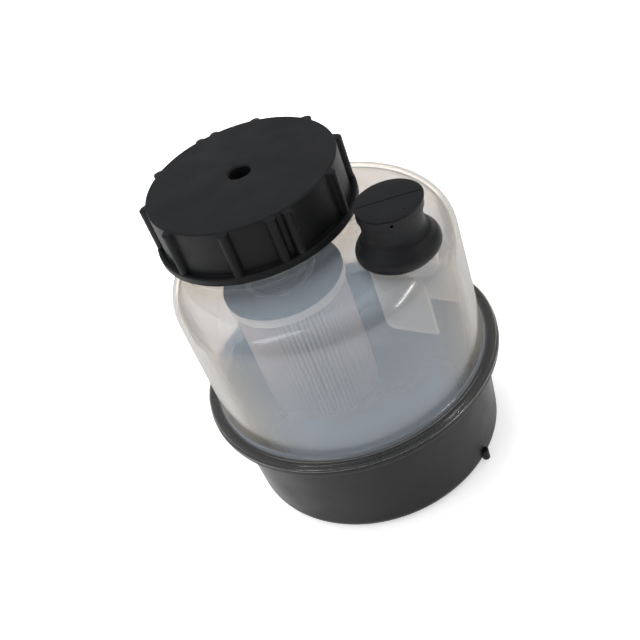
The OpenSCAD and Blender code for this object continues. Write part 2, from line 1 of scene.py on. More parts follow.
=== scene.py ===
# %% [markdown]
# A power steering reservoir, dressed for the studio
#
# The solids of the reservoir are already made and packed: a black base cup, a translucent dome
# welded to it, a screw cap, a rubber breather, and a spring-held paper filter inside. This lesson
# gives each of them the surface that the real one has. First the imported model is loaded. Its
# nodes already stand where they belong, so every new piece is measured from them.

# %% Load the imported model
import math
import bmesh
import bpy
from mathutils import Matrix, Vector


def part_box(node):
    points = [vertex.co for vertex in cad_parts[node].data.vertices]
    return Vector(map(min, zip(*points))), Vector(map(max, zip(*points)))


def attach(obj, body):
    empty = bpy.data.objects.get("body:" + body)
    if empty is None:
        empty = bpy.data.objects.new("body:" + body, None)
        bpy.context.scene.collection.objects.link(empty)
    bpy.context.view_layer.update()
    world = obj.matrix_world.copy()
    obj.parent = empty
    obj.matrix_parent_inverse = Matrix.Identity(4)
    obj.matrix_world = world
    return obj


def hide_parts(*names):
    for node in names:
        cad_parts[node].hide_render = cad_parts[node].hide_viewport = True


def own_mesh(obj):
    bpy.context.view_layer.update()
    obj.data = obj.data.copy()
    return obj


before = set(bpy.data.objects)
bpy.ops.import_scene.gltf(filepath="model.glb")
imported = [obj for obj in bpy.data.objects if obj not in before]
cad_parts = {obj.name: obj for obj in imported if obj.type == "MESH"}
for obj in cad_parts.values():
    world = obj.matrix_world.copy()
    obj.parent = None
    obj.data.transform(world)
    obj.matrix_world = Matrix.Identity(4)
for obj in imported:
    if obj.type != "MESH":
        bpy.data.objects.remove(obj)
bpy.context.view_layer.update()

# %% [markdown]
# Sizes
#
# Meshes here are drawn in millimetres and scaled once at the end, because plastic parts are
# designed in millimetres and small numbers such as 0.0008 are easy to misread. The places of the
# neck, the breather and the weld come from the boxes of the solids. The rest are the part's own
# sizes.

# %% Sizes in millimetres
MM = 0.001
SMOOTH = 192


def node_box(name):
    """Lowest and highest corner of a solid, in millimetres."""
    low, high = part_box(name)
    return low / MM, high / MM


dome_low, dome_high = node_box("upper_housing")
cap_low, cap_high = node_box("filler_cap")
breather_low, breather_high = node_box("breather_cap")
base_high = node_box("lower_housing")[1]
plate_low, plate_high = node_box("spring_plate")
top_cap_low, top_cap_high = node_box("filter_top_cap")
bottom_cap_low, bottom_cap_high = node_box("filter_bottom_cap")
spring_low, spring_high = node_box("pressure_spring")

weld_z = dome_low.z
flange_r = dome_high.x
neck_x = (bottom_cap_low.x + bottom_cap_high.x) / 2
neck_y = (bottom_cap_low.y + bottom_cap_high.y) / 2
neck_axis = (neck_x, neck_y)
neck_off = math.hypot(neck_x, neck_y)
breather_x = (breather_low.x + breather_high.x) / 2
breather_y = (breather_low.y + breather_high.y) / 2
breather_axis = (breather_x, breather_y)
dome_turn = math.atan2(breather_y, breather_x)
seat_z = breather_low.z
seat_h = 1.0
roof_z = seat_z - seat_h
cap_top_z = cap_high.z
cap_rim_z = cap_low.z
print(f"weld at {weld_z:.1f} mm, roof at {roof_z:.1f} mm, neck {neck_off:.1f} mm off the axis")

# %% [markdown]
# Lathe, boolean and finish
#
# Nearly every piece of this reservoir is round, so one helper turns an outline about a vertical
# axis, as a lathe would. Another pulls a flat outline to a prism. Every new mesh gets its doubles
# merged and its faces turned outwards. Closed meshes are joined to each other or cut. The last
# helper makes a mesh ready to show: creases sharp, the rest smooth, and its one material.


# %% Helpers for meshes
def arc(centre_r, centre_z, radius, start, end, steps=8):
    """Points of an arc in the outline plane, from one angle in degrees to another."""
    angles = [math.radians(start + (end - start) * i / steps) for i in range(steps + 1)]
    return [(centre_r + radius * math.cos(a), centre_z + radius * math.sin(a)) for a in angles]


def bar(radius, low, high):
    """The outline of a plain round bar."""
    return [(0, low), (radius, low), (radius, high), (0, high)]


def mesh_object(name, verts, faces):
    """A new object in the scene from points in millimetres, with its faces turned outwards."""
    mesh = bpy.data.meshes.new(name)
    mesh.from_pydata([Vector(v) * MM for v in verts], [], faces)
    piece = bpy.data.objects.new(name, mesh)
    bpy.context.scene.collection.objects.link(piece)
    work = bmesh.new()
    work.from_mesh(mesh)
    bmesh.ops.remove_doubles(work, verts=work.verts, dist=0.001 * MM)
    bmesh.ops.recalc_face_normals(work, faces=work.faces)
    work.to_mesh(mesh)
    work.free()
    return piece


def lathe(name, outline, axis=(0.0, 0.0), ring=False, segments=SMOOTH):
    """Turns an outline of (radius, height) points about a vertical axis; a ring's outline closes."""
    verts, rows = [], []
    for radius, height in outline:
        if radius < 1e-6:
            rows.append([len(verts)] * segments)
            verts.append((axis[0], axis[1], height))
            continue
        rows.append([len(verts) + i for i in range(segments)])
        for i in range(segments):
            a = 2 * math.pi * i / segments
            verts.append((axis[0] + radius * math.cos(a), axis[1] + radius * math.sin(a), height))
    faces = []
    pairs = list(zip(rows, rows[1:] + rows[:1] if ring else rows[1:]))
    for below, above in pairs:
        for i in range(segments):
            j = (i + 1) % segments
            corners = [below[i], below[j], above[j], above[i]]
            faces.append(list(dict.fromkeys(corners)))
    return mesh_object(name, verts, faces)


def prism(name, outline, low, high, place=Matrix.Identity(4)):
    """A flat outline of (x, y) points pulled from one height to another, then placed."""
    n = len(outline)
    verts = [(x, y, low) for x, y in outline] + [(x, y, high) for x, y in outline]
    faces = [list(range(n)), list(range(n, 2 * n))]
    faces += [[i, (i + 1) % n, n + (i + 1) % n, n + i] for i in range(n)]
    return mesh_object(name, [place @ Vector(v) for v in verts], faces)


def settle(piece):
    """Replaces a piece's mesh by what its modifiers make of it."""
    graph = bpy.context.evaluated_depsgraph_get()
    mesh = bpy.data.meshes.new_from_object(piece.evaluated_get(graph), depsgraph=graph)
    piece.modifiers.clear()
    piece.data = mesh
    return piece


def combine(piece, tool, operation="UNION"):
    """Joins a closed mesh to another, or does what the operation says, and removes the tool."""
    boolean = piece.modifiers.new("combine", "BOOLEAN")
    boolean.operation = operation
    boolean.solver = "MANIFOLD"
    boolean.object = tool
    settle(piece)
    bpy.data.objects.remove(tool)
    return piece


def cut(piece, tool):
    """Cuts a closed mesh away from another."""
    return combine(piece, tool, "DIFFERENCE")


def finish(piece, material, crease=32.0, weighted=True):
    """Smooths a mesh apart from its creases and gives it its one material."""
    piece.data.materials.clear()
    piece.data.materials.append(material)
    piece.data.shade_smooth()
    piece.data.set_sharp_from_angle(angle=math.radians(crease))
    if weighted:
        shading = piece.modifiers.new("even shading", "WEIGHTED_NORMAL")
        shading.keep_sharp = True
        settle(piece)
    return piece


# %% [markdown]
# Colour and shader helpers
#
# A colour is noted as sRGB hex, because that is what one reads from a paint chip or a screen, but
# shaders work in linear light. One function turns one into the other. The next adds a shader node
# with its settings and its inputs in one call. The short ones after it name the nodes that most
# materials here need: a noise of a size in millimetres, a range mapped to another, two kinds of
# mix and a relief.


# %% Helpers for materials
def linear(hex_colour):
    """Linear RGBA of an sRGB colour such as 2E2C2B."""
    channels = [int(hex_colour[i:i + 2], 16) / 255 for i in (0, 2, 4)]
    return (*[c / 12.92 if c <= 0.04045 else ((c + 0.055) / 1.055) ** 2.4 for c in channels], 1.0)


def add(tree, kind, inputs=None, **settings):
    """A new node with its settings, its inputs set to values or linked to sockets or nodes."""
    made = tree.nodes.new(kind)
    for name, value in settings.items():
        setattr(made, name, value)
    for socket, value in (inputs or {}).items():
        if isinstance(value, bpy.types.Node):
            value = next(s for s in value.outputs if s.enabled)
        if isinstance(value, bpy.types.NodeSocket):
            tree.links.new(value, made.inputs[socket])
        else:
            made.inputs[socket].default_value = value
    return made


def new_material(name):
    """An empty material and its node tree."""
    material = bpy.data.materials.new(name)
    material.use_nodes = True
    material.node_tree.nodes.clear()
    return material, material.node_tree


def maths(tree, operation, a, b=0.0):
    """The value of a math node on two values, sockets or nodes."""
    return add(tree, "ShaderNodeMath", {0: a, 1: b}, operation=operation).outputs[0]


def scaled(tree, value, low, high, at_low, at_high, **settings):
    """A range of a value mapped to another range, and held at its ends."""
    return add(tree, "ShaderNodeMapRange", {
        "Value": value, "From Min": low, "From Max": high, "To Min": at_low, "To Max": at_high},
        **settings)


def mixed(tree, share, a, b, data_type="RGBA"):
    """Two colours, or two numbers, mixed by a share."""
    return add(tree, "ShaderNodeMix", {"Factor": share, "A": a, "B": b}, data_type=data_type)


def blended(tree, share, a, b):
    """Two shaders mixed by a share."""
    return add(tree, "ShaderNodeMixShader", {0: share, 1: a, 2: b})


def object_place(tree):
    """A point's place in the object's own coordinates."""
    return add(tree, "ShaderNodeTexCoord").outputs["Object"]


def noise(tree, place, size_mm, detail):
    """A noise with marks of a size in millimetres."""
    return add(tree, "ShaderNodeTexNoise", {
        "Vector": place, "Scale": 1 / (size_mm * MM), "Detail": detail})


def relief(tree, height, strength, depth_mm):
    """The normal of a relief with a depth in millimetres."""
    return add(tree, "ShaderNodeBump", {
        "Height": height, "Strength": strength, "Distance": depth_mm * MM})


def off_axis(tree, place):
    """The distance of a place from the upright axis, and its height."""
    axes = add(tree, "ShaderNodeSeparateXYZ", {"Vector": place}).outputs
    flat = add(tree, "ShaderNodeCombineXYZ", {"X": axes["X"], "Y": axes["Y"]})
    return add(tree, "ShaderNodeVectorMath", {0: flat}, operation="LENGTH"), axes["Z"]


# %% Moulded plastic
FLOW_MM = 18
UNEVEN_GLOSS = 0.06


def moulded_plastic(name, colour, roughness, grain_mm, grain_depth_mm, level):
    """A moulded surface: one colour, a fine grain in the normal and slightly uneven gloss."""
    material, tree = new_material(name)
    place = object_place(tree)
    grain = relief(tree, noise(tree, place, grain_mm, 3.0), 0.6, grain_depth_mm)
    gloss = scaled(tree, noise(tree, place, FLOW_MM, 2.0), 0.3, 0.7,
                   roughness - UNEVEN_GLOSS, roughness + UNEVEN_GLOSS)
    plastic = add(tree, "ShaderNodeBsdfPrincipled", {
        "Base Color": linear(colour), "Roughness": gloss, "IOR": 1.5,
        "Specular IOR Level": level, "Normal": grain})
    add(tree, "ShaderNodeOutputMaterial", {"Surface": plastic})
    return material


# %% [markdown]
# Black plastics and rubber
#
# The base is glass-filled nylon from a polished mould: nearly black, slightly warm, with a satin
# gloss that brightens at the silhouette. The cap came from an eroded mould, so it has a finer,
# duller grain and a cooler black. The breather and the seals are EPDM rubber, which is matt and
# takes the light softly. All three differ only in colour, roughness and grain, so one function
# makes them.

# %% Black materials
satin_black_nylon = moulded_plastic("satin_black_nylon", "0C0B0B", 0.4, 0.9, 0.004, level=0.2)
grained_black_cap = moulded_plastic("grained_black_cap", "0C0D0F", 0.55, 0.5, 0.02, level=0.18)
black_epdm_rubber = moulded_plastic("black_epdm_rubber", "0C0D10", 0.55, 0.7, 0.016, level=0.2)
print("black surfaces:", satin_black_nylon.name, grained_black_cap.name, black_epdm_rubber.name)

# %% [markdown]
# Natural polypropylene
#
# Unpigmented polypropylene is full of crystals that scatter a little of the light. They scatter
# blue more than red, so the wall looks milky blue over something black and beige against the
# light. A wall 2.5 mm thick still lets about half of the light straight through. That is drawn
# with a see-through shader tinted warm, mixed with a bluish veil that is lit from both sides. The
# veil grows towards the weld flange, where the wall is thickest. The wall refracts, so even a
# grazing ray crosses it within 42 degrees of its normal: the veil thickens only by a third. The
# outermost rays never leave the wall again on its inside. They run along in it and make the warm,
# darker outline of the dome. A clear gloss lies on top and follows Fresnel. At the weld flange no
# light comes from behind, so the veil is thin, and the welding tool left the gloss a little duller.

# %% Translucent material of the dome
PLASTIC_IOR = 1.49
LONGEST_WAY = 1 / math.sqrt(1 - 1 / PLASTIC_IOR ** 2)
GLOSS = 0.8
GLOSS_LIMIT = 0.25
GLOSS_INSIDE = 0.4
VEIL = 0.25
LOW_VEIL = 0.35
LOW_VEIL_AT, VEIL_AT = 8, 52
FLANGE_VEIL = 0.03
DOME_ROUGH, WELDED_ROUGH = 0.13, 0.16
WELDED_FROM, WELDED_TO = 67.9, 69.3
CLEAR_TINT = linear("FDF8F2")
MILK = linear("C3D2E3")
OUTLINE_TINT = linear("AAA8A2")
OUTLINE_FROM = 0.64
OUTLINE_BAND = 0.12
OUTLINE_VEIL = 0.7


def milky(tree, colour, passed_on):
    """Milk that throws light back and passes on a share of it."""
    near = add(tree, "ShaderNodeBsdfDiffuse", {"Color": colour})
    far = add(tree, "ShaderNodeBsdfTranslucent", {"Color": colour})
    return blended(tree, passed_on, near, far)


def natural_polypropylene():
    """Milky translucent plastic whose veil thins out at the weld flange."""
    material, tree = new_material("natural_polypropylene")
    place = object_place(tree)
    radius, height = off_axis(tree, place)
    welded = scaled(tree, radius, WELDED_FROM * MM, WELDED_TO * MM, 0.0, 1.0)
    upwards = scaled(tree, height, (weld_z + LOW_VEIL_AT) * MM, (weld_z + VEIL_AT) * MM,
                     1 - LOW_VEIL, 1 - VEIL, interpolation_type="SMOOTHSTEP")
    uneven = scaled(tree, noise(tree, place, 22, 3.0), 0.3, 0.7, 0.985, 1.015)
    through = mixed(tree, welded, maths(tree, "MULTIPLY", upwards, uneven), 1 - FLANGE_VEIL, "FLOAT")
    facing = add(tree, "ShaderNodeLayerWeight", {"Blend": 0.5}).outputs["Facing"]
    way = scaled(tree, facing, 0.0, 1.0, 1.0, LONGEST_WAY)
    outline = scaled(tree, facing, OUTLINE_FROM, OUTLINE_FROM + OUTLINE_BAND, 1.0, 1 - OUTLINE_VEIL)
    passed = maths(tree, "MULTIPLY", maths(tree, "POWER", through, way), outline)
    milk = mixed(tree, scaled(tree, facing, 0.4, OUTLINE_FROM, 0.0, 1.0), MILK, OUTLINE_TINT)
    clear = add(tree, "ShaderNodeBsdfTransparent", {"Color": CLEAR_TINT})
    body = blended(tree, passed, milky(tree, milk, 0.55), clear)
    ripple = relief(tree, noise(tree, place, 9, 1.0), 0.35, 0.03)
    inside = add(tree, "ShaderNodeNewGeometry").outputs["Backfacing"]
    index = mixed(tree, inside, PLASTIC_IOR, 1 / PLASTIC_IOR, "FLOAT")
    shine = add(tree, "ShaderNodeFresnel", {"IOR": index, "Normal": ripple})
    shine = maths(tree, "MULTIPLY", shine, scaled(tree, inside, 0.0, 1.0, 1.0, GLOSS_INSIDE))
    gloss = add(tree, "ShaderNodeBsdfGlossy", {
        "Color": (GLOSS, GLOSS, GLOSS, 1), "Normal": ripple,
        "Roughness": scaled(tree, welded, 0.0, 1.0, DOME_ROUGH, WELDED_ROUGH)})
    surface = blended(tree, maths(tree, "MINIMUM", shine, GLOSS_LIMIT), body, gloss)
    add(tree, "ShaderNodeOutputMaterial", {"Surface": surface})
    return material


milky_dome = natural_polypropylene()
print(f"the dome veils {VEIL:.0%} at each of its two faces, seen straight on")

# %% Splash plate material
PLATE_VEIL = 0.38
EDGE_VEIL = 0.85


def frosted_polypropylene(flat_way):
    """The dome's plastic as a thin plate, with more veil where one looks into its narrow edges."""
    material, tree = new_material("frosted_polypropylene")
    normal = add(tree, "ShaderNodeNewGeometry").outputs["Normal"]
    across = add(tree, "ShaderNodeVectorMath", {0: normal, 1: flat_way}, operation="DOT_PRODUCT")
    veil = scaled(tree, maths(tree, "ABSOLUTE", across), 0.3, 0.9, EDGE_VEIL, PLATE_VEIL)
    cloud = noise(tree, object_place(tree), 14, 2.0)
    tone = mixed(tree, cloud, linear("CFD2D2"), linear("E3E2DE"))
    clear = add(tree, "ShaderNodeBsdfTransparent", {"Color": CLEAR_TINT})
    body = blended(tree, veil, clear, milky(tree, tone, 0.5))
    add(tree, "ShaderNodeOutputMaterial", {"Surface": body})
    return material


# %% [markdown]
# Metal and paper
#
# The filter's end caps and its centre tube are zinc-plated sheet steel, the spring is drawn steel
# wire and the inserts are turned brass. They are metals, so their colour sits in the reflection.
# The filter paper is impregnated with resin, which turns it pinkish beige, and its fibres show as
# a fine cloud. Its folds and its lower part are darkened as painted shade, and the lower end cap's
# sheet is darkened as painted shade too, because little light reaches down into the black cup.


# %% Metal and paper materials
def bare_metal(name, colour, roughness, grain_mm, stretch=(1.0, 1.0, 0.05)):
    """A metal whose rolling or drawing marks are a stretched noise in its gloss."""
    material, tree = new_material(name)
    turned = add(tree, "ShaderNodeMapping", {"Vector": object_place(tree), "Scale": stretch})
    marks = noise(tree, turned, grain_mm, 2.0)
    metal = add(tree, "ShaderNodeBsdfPrincipled", {
        "Base Color": linear(colour), "Metallic": 1.0, "Normal": relief(tree, marks, 0.3, 0.01),
        "Roughness": scaled(tree, marks, 0.0, 1.0, roughness - 0.08, roughness + 0.08)})
    add(tree, "ShaderNodeOutputMaterial", {"Surface": metal})
    return material


FOLD_SHADE = 3.5
# Heights in millimetres between which painted shade darkens the paper towards its bottom.
SHADED_BELOW, UNSHADED_ABOVE = 22, 62


def resin_paper():
    """Resin-treated filter paper: a cloud of fibres, with painted shade in its folds and towards its
    bottom.
    """
    material, tree = new_material("resin_filter_paper")
    place = object_place(tree)
    fibres = noise(tree, place, 0.8, 5.0)
    colour = mixed(tree, scaled(tree, fibres, 0.3, 0.7, 0.0, 1.0), linear("E0CCC0"), linear("FBF1E9"))
    centred = add(tree, "ShaderNodeMapping", {
        "Vector": place, "Location": (-neck_x * MM, -neck_y * MM, 0)})
    radius, height = off_axis(tree, centred)
    # Painted shade in the folds: the paper darkens deeper than FOLD_SHADE inside its outer edge.
    fold = scaled(tree, radius, (paper_r - FOLD_SHADE) * MM, paper_r * MM, 0.74, 1.0)
    # Painted shade towards the bottom: the paper darkens downwards, where it sits deep in the black
    # cup.
    low_shade = scaled(tree, height, SHADED_BELOW * MM, UNSHADED_ABOVE * MM, 0.72, 1.0)
    shaded = mixed(tree, maths(tree, "MULTIPLY", fold, low_shade), linear("3A3430"), colour)
    paper = add(tree, "ShaderNodeBsdfPrincipled", {
        "Base Color": shaded, "Roughness": 0.85, "Normal": relief(tree, fibres, 0.5, 0.03)})
    through = add(tree, "ShaderNodeBsdfTranslucent", {"Color": shaded})
    add(tree, "ShaderNodeOutputMaterial", {"Surface": blended(tree, 0.3, paper, through)})
    return material


paper_low, paper_high = node_box("pleated_paper")
paper_r = (paper_high.x - paper_low.x) / 2
zinc_plated_sheet = bare_metal("zinc_plated_sheet", "E4E2DF", 0.62, 1.5)
# The lower end cap's sheet is darker as painted shade, because it sits deep in the black cup.
shaded_sheet = bare_metal("shaded_zinc_plated_sheet", "35332F", 0.6, 1.5)
drawn_spring_steel = bare_metal("drawn_spring_steel", "5C5D60", 0.4, 0.6)
turned_brass = bare_metal("turned_brass", "C29A4B", 0.3, 0.5, (0.1, 1.0, 0.1))
filter_paper = resin_paper()
print("metals and paper:", zinc_plated_sheet.name, drawn_spring_steel.name, turned_brass.name)

# %% [markdown]
# Studio
#
# The photograph was taken from 39 degrees above, with the camera rolled by 22 degrees, on a white
# sweep. The camera is placed from those angles. The floor is a large pale sheet. It shows white to
# the camera, to reflections and through the dome, and lights the object as a pale sheet would. The
# light is one large soft box above, one on the left, one at the back and an even pale surround. In
# reflections the surround is darker overhead and in front, so black plastic stays black there. Two
# narrow strips are seen only in reflections: they draw the long highlights on the dome's shoulder
# and its side.

# %% Camera
TILT = 38.771
ROLL = 21.609
LENS = 51.675
DISTANCE = 459.595
AIM = (14.2533, -16.3001)
FLANGE_LEVEL = 57.5

tilt, roll = math.radians(TILT), math.radians(ROLL)
right = Vector((1, 0, 0))
up = Vector((0, math.sin(tilt), math.cos(tilt)))
back = Vector((0, -math.cos(tilt), math.sin(tilt)))
right_turned = math.cos(roll) * right - math.sin(roll) * up
up_turned = math.sin(roll) * right + math.cos(roll) * up
spot = Vector((0, 0, FLANGE_LEVEL)) + DISTANCE * back - AIM[0] * right_turned - AIM[1] * up_turned
camera = bpy.data.objects.new("camera", bpy.data.cameras.new("camera"))
camera.data.lens = LENS
camera.data.sensor_width = 36.0
camera.data.clip_start = 0.01
camera.matrix_world = Matrix.Translation(spot * MM) @ Matrix(
    (right_turned, up_turned, back)).transposed().to_4x4()
bpy.context.scene.collection.objects.link(camera)
bpy.context.scene.camera = camera
print("camera at", [round(v) for v in spot], "mm")

# %% Floor and surround
FLOOR_GLOW = 0.45
SURROUND = 0.95
SKY = 0.6
FRONT = 0.2
WHITE = (1, 1, 1, 1)


def pale_floor():
    """A white sheet that keeps the object's shadow and shows white at its own brightness."""
    material, tree = new_material("white_sweep")
    rays = add(tree, "ShaderNodeLightPath").outputs
    seen = maths(tree, "MAXIMUM", rays["Is Camera Ray"], rays["Is Glossy Ray"])
    seen_or_through = maths(tree, "MAXIMUM", seen, rays["Is Transmission Ray"])
    sheet = add(tree, "ShaderNodeBsdfPrincipled", {
        "Base Color": linear("E6E6E6"), "Roughness": 0.9, "Specular IOR Level": 0.1,
        "Emission Color": WHITE,
        "Emission Strength": maths(tree, "MULTIPLY", seen_or_through, FLOOR_GLOW)})
    add(tree, "ShaderNodeOutputMaterial", {"Surface": sheet})
    return material


def surround():
    """The room: white to the camera and near the horizon, darker overhead for reflections."""
    world = bpy.data.worlds.new("studio")
    world.use_nodes = True
    tree = world.node_tree
    tree.nodes.clear()
    rays = add(tree, "ShaderNodeLightPath").outputs
    place = add(tree, "ShaderNodeTexCoord").outputs["Generated"]
    axes = add(tree, "ShaderNodeSeparateXYZ", {"Vector": place}).outputs
    height = scaled(tree, axes["Z"], 0.02, 0.3, 0.95, SKY)
    depth = scaled(tree, axes["Y"], -0.95, -0.35, FRONT, 1.0)
    mirrored = maths(tree, "MULTIPLY", height, depth)
    room = mixed(tree, rays["Is Glossy Ray"], SURROUND, mirrored, "FLOAT")
    shown = mixed(tree, rays["Is Camera Ray"], room, 1.0, "FLOAT")
    light = add(tree, "ShaderNodeBackground", {"Color": WHITE, "Strength": shown})
    add(tree, "ShaderNodeOutputWorld", {"Surface": light})
    return world


half = 3000
corners = [(-half, -half, 0), (half, -half, 0), (half, half, 0), (-half, half, 0)]
floor = mesh_object("floor", corners, [[0, 1, 2, 3]])
floor.location.z = -0.5 * MM
floor.data.materials.append(pale_floor())
print("floor", 2 * half * MM, "m wide")
bpy.context.scene.world = surround()
bpy.context.scene.view_settings.view_transform = "Standard"
bpy.context.scene.cycles.transparent_max_bounces = 24

# %% Lights
LAMP_DISTANCE = 900
LAMP_TARGET = Vector((0, 0, 100))


def towards(azimuth, elevation):
    """The direction of an azimuth and an elevation in degrees."""
    a, e = math.radians(azimuth), math.radians(elevation)
    return Vector((math.cos(a) * math.cos(e), math.sin(a) * math.cos(e), math.sin(e)))


def strip_light(name, start, end, width, watts, in_reflections):
    """A lamp from one direction to another, seen by matt surfaces or else by glossy ones."""
    first, last = towards(*start) * LAMP_DISTANCE, towards(*end) * LAMP_DISTANCE
    lamp = bpy.data.lights.new(name, "AREA")
    lamp.shape = "RECTANGLE"
    lamp.size = (last - first).length * MM
    lamp.size_y = width * MM
    lamp.energy = watts
    made = bpy.data.objects.new(name, lamp)
    out = (first + last).normalized()
    along = (last - first).normalized()
    across = out.cross(along)
    made.matrix_world = Matrix.Translation((LAMP_TARGET + (first + last) / 2) * MM) @ Matrix(
        (along, across, out)).transposed().to_4x4()
    made.visible_glossy = in_reflections
    made.visible_diffuse = not in_reflections
    bpy.context.scene.collection.objects.link(made)
    return made


strip_light("overhead_box", (120, 49), (-60, 85), 700, 6.0, False)
strip_light("left_box", (-158, 29), (-158, 61), 500, 2.0, False)
strip_light("left_strip", (-158, 40), (-158, 74), 120, 1.2, True)
strip_light("right_strip", (-23, 37), (-49, 17), 65, 1.8, True)
strip_light("back_box", (90, 50), (90, 86), 500, 1.3, False)
print("three soft boxes for the light, two strips for the highlights, an even surround")

# %% [markdown]
# Base cup
#
# The cup is one injection moulding. Its wall tapers towards the underside so that it leaves the
# mould, and its edges are rounded. Round forms are lathe turned. The spigots, bosses, webs and the
# filter's pedestal are joined to it by booleans, and the bores are cut last, as the mould's cores
# do it. The roots of the spigots are flared, because a moulding never has a sharp inner corner.

# %% Base cup sizes
base_top_r = 67.2
base_low_r = 65.2
base_edge_r = 6.0
base_wall = 3.0
floor_t = 3.2
base_flange_t = 3.2
base_flange_r = flange_r - 0.5
weld_gap = 0.04


def base_r_at(z):
    """Outer radius of the tapered wall at a height."""
    return base_low_r + (base_top_r - base_low_r) * z / weld_z


# %% Base cup body
under = weld_z - base_flange_t
root = 1.8
cup_outside = (
    [(0, 0.5), (9.4, 0.5), (10, 0)]
    + arc(base_low_r - base_edge_r, base_edge_r, base_edge_r, -90, 0, 12)
    + [(base_r_at(under - root), under - root)]
    + arc(base_r_at(under) + root, under - root, root, 180, 90, 5)[1:]
    + arc(base_flange_r - 0.7, under + 0.7, 0.7, -90, 0, 5)
    + [(base_flange_r, weld_z - 0.7), (base_flange_r - 0.7, weld_z - weld_gap)]
)
edge_in = base_edge_r - base_wall
cup_inside = (
    [(base_top_r - base_wall + 0.5, weld_z - weld_gap), (base_top_r - base_wall, weld_z - 0.5)]
    + arc(base_low_r - base_wall - edge_in, floor_t + edge_in, edge_in, 0, -90, 8)
    + [(0, floor_t)]
)
base = lathe("base_cup", cup_outside + cup_inside)
print("base cup:", len(base.data.polygons), "faces")

# %% Spigots
spigot_reach = base_high.y
barb_h = 0.9
barb_l = 4.8
barb_crest_l = 1.6
barb_setback = 1.5


def along_y(x, z):
    """Places a lathe's axis along +Y at an x and a height, with its zero at the dome's axis."""
    return Matrix.Translation(Vector((x, 0, z)) * MM) @ Matrix.Rotation(math.radians(-90), 4, "X")


def turned_along_y(name, outline, x, z, segments=96):
    """A lathe piece whose axis runs along +Y."""
    piece = lathe(name, outline, segments=segments)
    piece.data.transform(along_y(x, z))
    return piece


def spigot(x, z, r):
    """A hose spigot with a flared root, a gripping bead and a rounded mouth."""
    wall_y = math.sqrt(base_r_at(z) ** 2 - x ** 2)
    bead = spigot_reach - barb_l - barb_setback
    crest = bead + (barb_l - barb_crest_l) / 2
    flare = 2.2
    outline = (
        [(0, wall_y - 8), (r + flare, wall_y - 8), (r + flare, wall_y - 0.6)]
        + arc(r + flare, wall_y - 0.6 + flare, flare, -90, -180, 6)
        + [(r, bead), (r + barb_h - 0.1, crest - 0.1), (r + barb_h, crest + 0.1),
           (r + barb_h, crest + barb_crest_l - 0.1), (r + barb_h - 0.1, crest + barb_crest_l + 0.1),
           (r, bead + barb_l), (r, spigot_reach - 0.7)]
        + arc(r - 0.7, spigot_reach - 0.7, 0.7, 0, 90, 4)
        + [(0, spigot_reach)]
    )
    return turned_along_y("spigot", outline, x, z)


suction_x, suction_z, suction_r, suction_bore_r = 24.0, 21.2, 14.0, 11.0
return_z, return_r, return_bore_r = 14.7, 9.0, 6.0
combine(base, spigot(suction_x, suction_z, suction_r))
combine(base, spigot(neck_x, return_z, return_r))
print("spigots reach", round(spigot_reach, 1), "mm")

# %% Bosses, webs and nib
boss_x, boss_y, boss_z, boss_r = 52.0, 68.0, 34.0, 7.5
web_t = 4.0
web_drop = 22.0
boss_foot = math.sqrt(base_r_at(boss_z) ** 2 - boss_x ** 2) - 4
boss_outline = [(0, boss_foot), (boss_r, boss_foot), (boss_r, boss_y - 0.5), (boss_r - 0.5, boss_y),
                (0, boss_y)]
web_end = math.sqrt((base_flange_r - 1) ** 2 - (boss_x + web_t / 2) ** 2)
web_outline = [(boss_foot, boss_z - web_drop), (boss_y - 8, boss_z - boss_r / 2), (boss_y - 8, boss_z),
               (web_end, under + 1), (boss_foot, under + 1)]
sideways = Matrix(((0, 0, 1), (1, 0, 0), (0, 1, 0))).to_4x4()
for side in (-1, 1):
    combine(base, turned_along_y("boss", boss_outline, side * boss_x, boss_z))
    combine(base, prism("web", web_outline, side * boss_x - web_t / 2, side * boss_x + web_t / 2,
                        sideways))

nib_reach, nib_r, nib_low, nib_h = base_low_r + 0.3, 2.0, 1.5, 6.5
nib_axis = (nib_reach * math.cos(dome_turn), nib_reach * math.sin(dome_turn))
nib_ease = 0.8
nib_outline = ([(0, nib_low)] + arc(nib_r - nib_ease, nib_low + nib_ease, nib_ease, -90, 0, 5)
               + arc(nib_r - nib_ease, nib_low + nib_h - nib_ease, nib_ease, 0, 90, 5)
               + [(0, nib_low + nib_h)])
combine(base, lathe("nib", nib_outline, nib_axis, segments=48))
print("base cup with bosses, webs and nib:", len(base.data.polygons), "faces")

# %% Cut the cup hollow and add what stands inside it
above_rim = weld_z + 20
cut(base, lathe("hollow", [(0, above_rim), (base_top_r - base_wall, above_rim)] + cup_inside[1:]))
pedestal_z = node_box("filter_seal")[0].z
pedestal_r, nipple_r, nipple_h = 13.0, 8.5, 4.5
nipple_top_z = pedestal_z + nipple_h
foot = 1.5
pedestal_outline = (
    [(0, 1), (pedestal_r + foot, 1), (pedestal_r + foot, floor_t)]
    + arc(pedestal_r + foot, floor_t + foot, foot, -90, -180, 4)
    + [(pedestal_r, pedestal_z - 0.5), (pedestal_r - 0.5, pedestal_z), (nipple_r, pedestal_z),
       (nipple_r, nipple_top_z - 0.6), (nipple_r - 0.6, nipple_top_z), (0, nipple_top_z)]
)
combine(base, lathe("pedestal", pedestal_outline, neck_axis, segments=96))
duct_end = math.sqrt((base_low_r - base_wall / 2) ** 2 - (abs(neck_x) + return_r) ** 2)
combine(base, turned_along_y("duct", bar(return_r, neck_y, duct_end), neck_x, return_z))
duct_left, duct_right, duct_foot_end = neck_x - return_r, neck_x + return_r, duct_end - base_edge_r
combine(base, prism("duct_foot", [(duct_left, neck_y), (duct_right, neck_y),
                                  (duct_right, duct_foot_end), (duct_left, duct_foot_end)],
                    1.0, return_z))
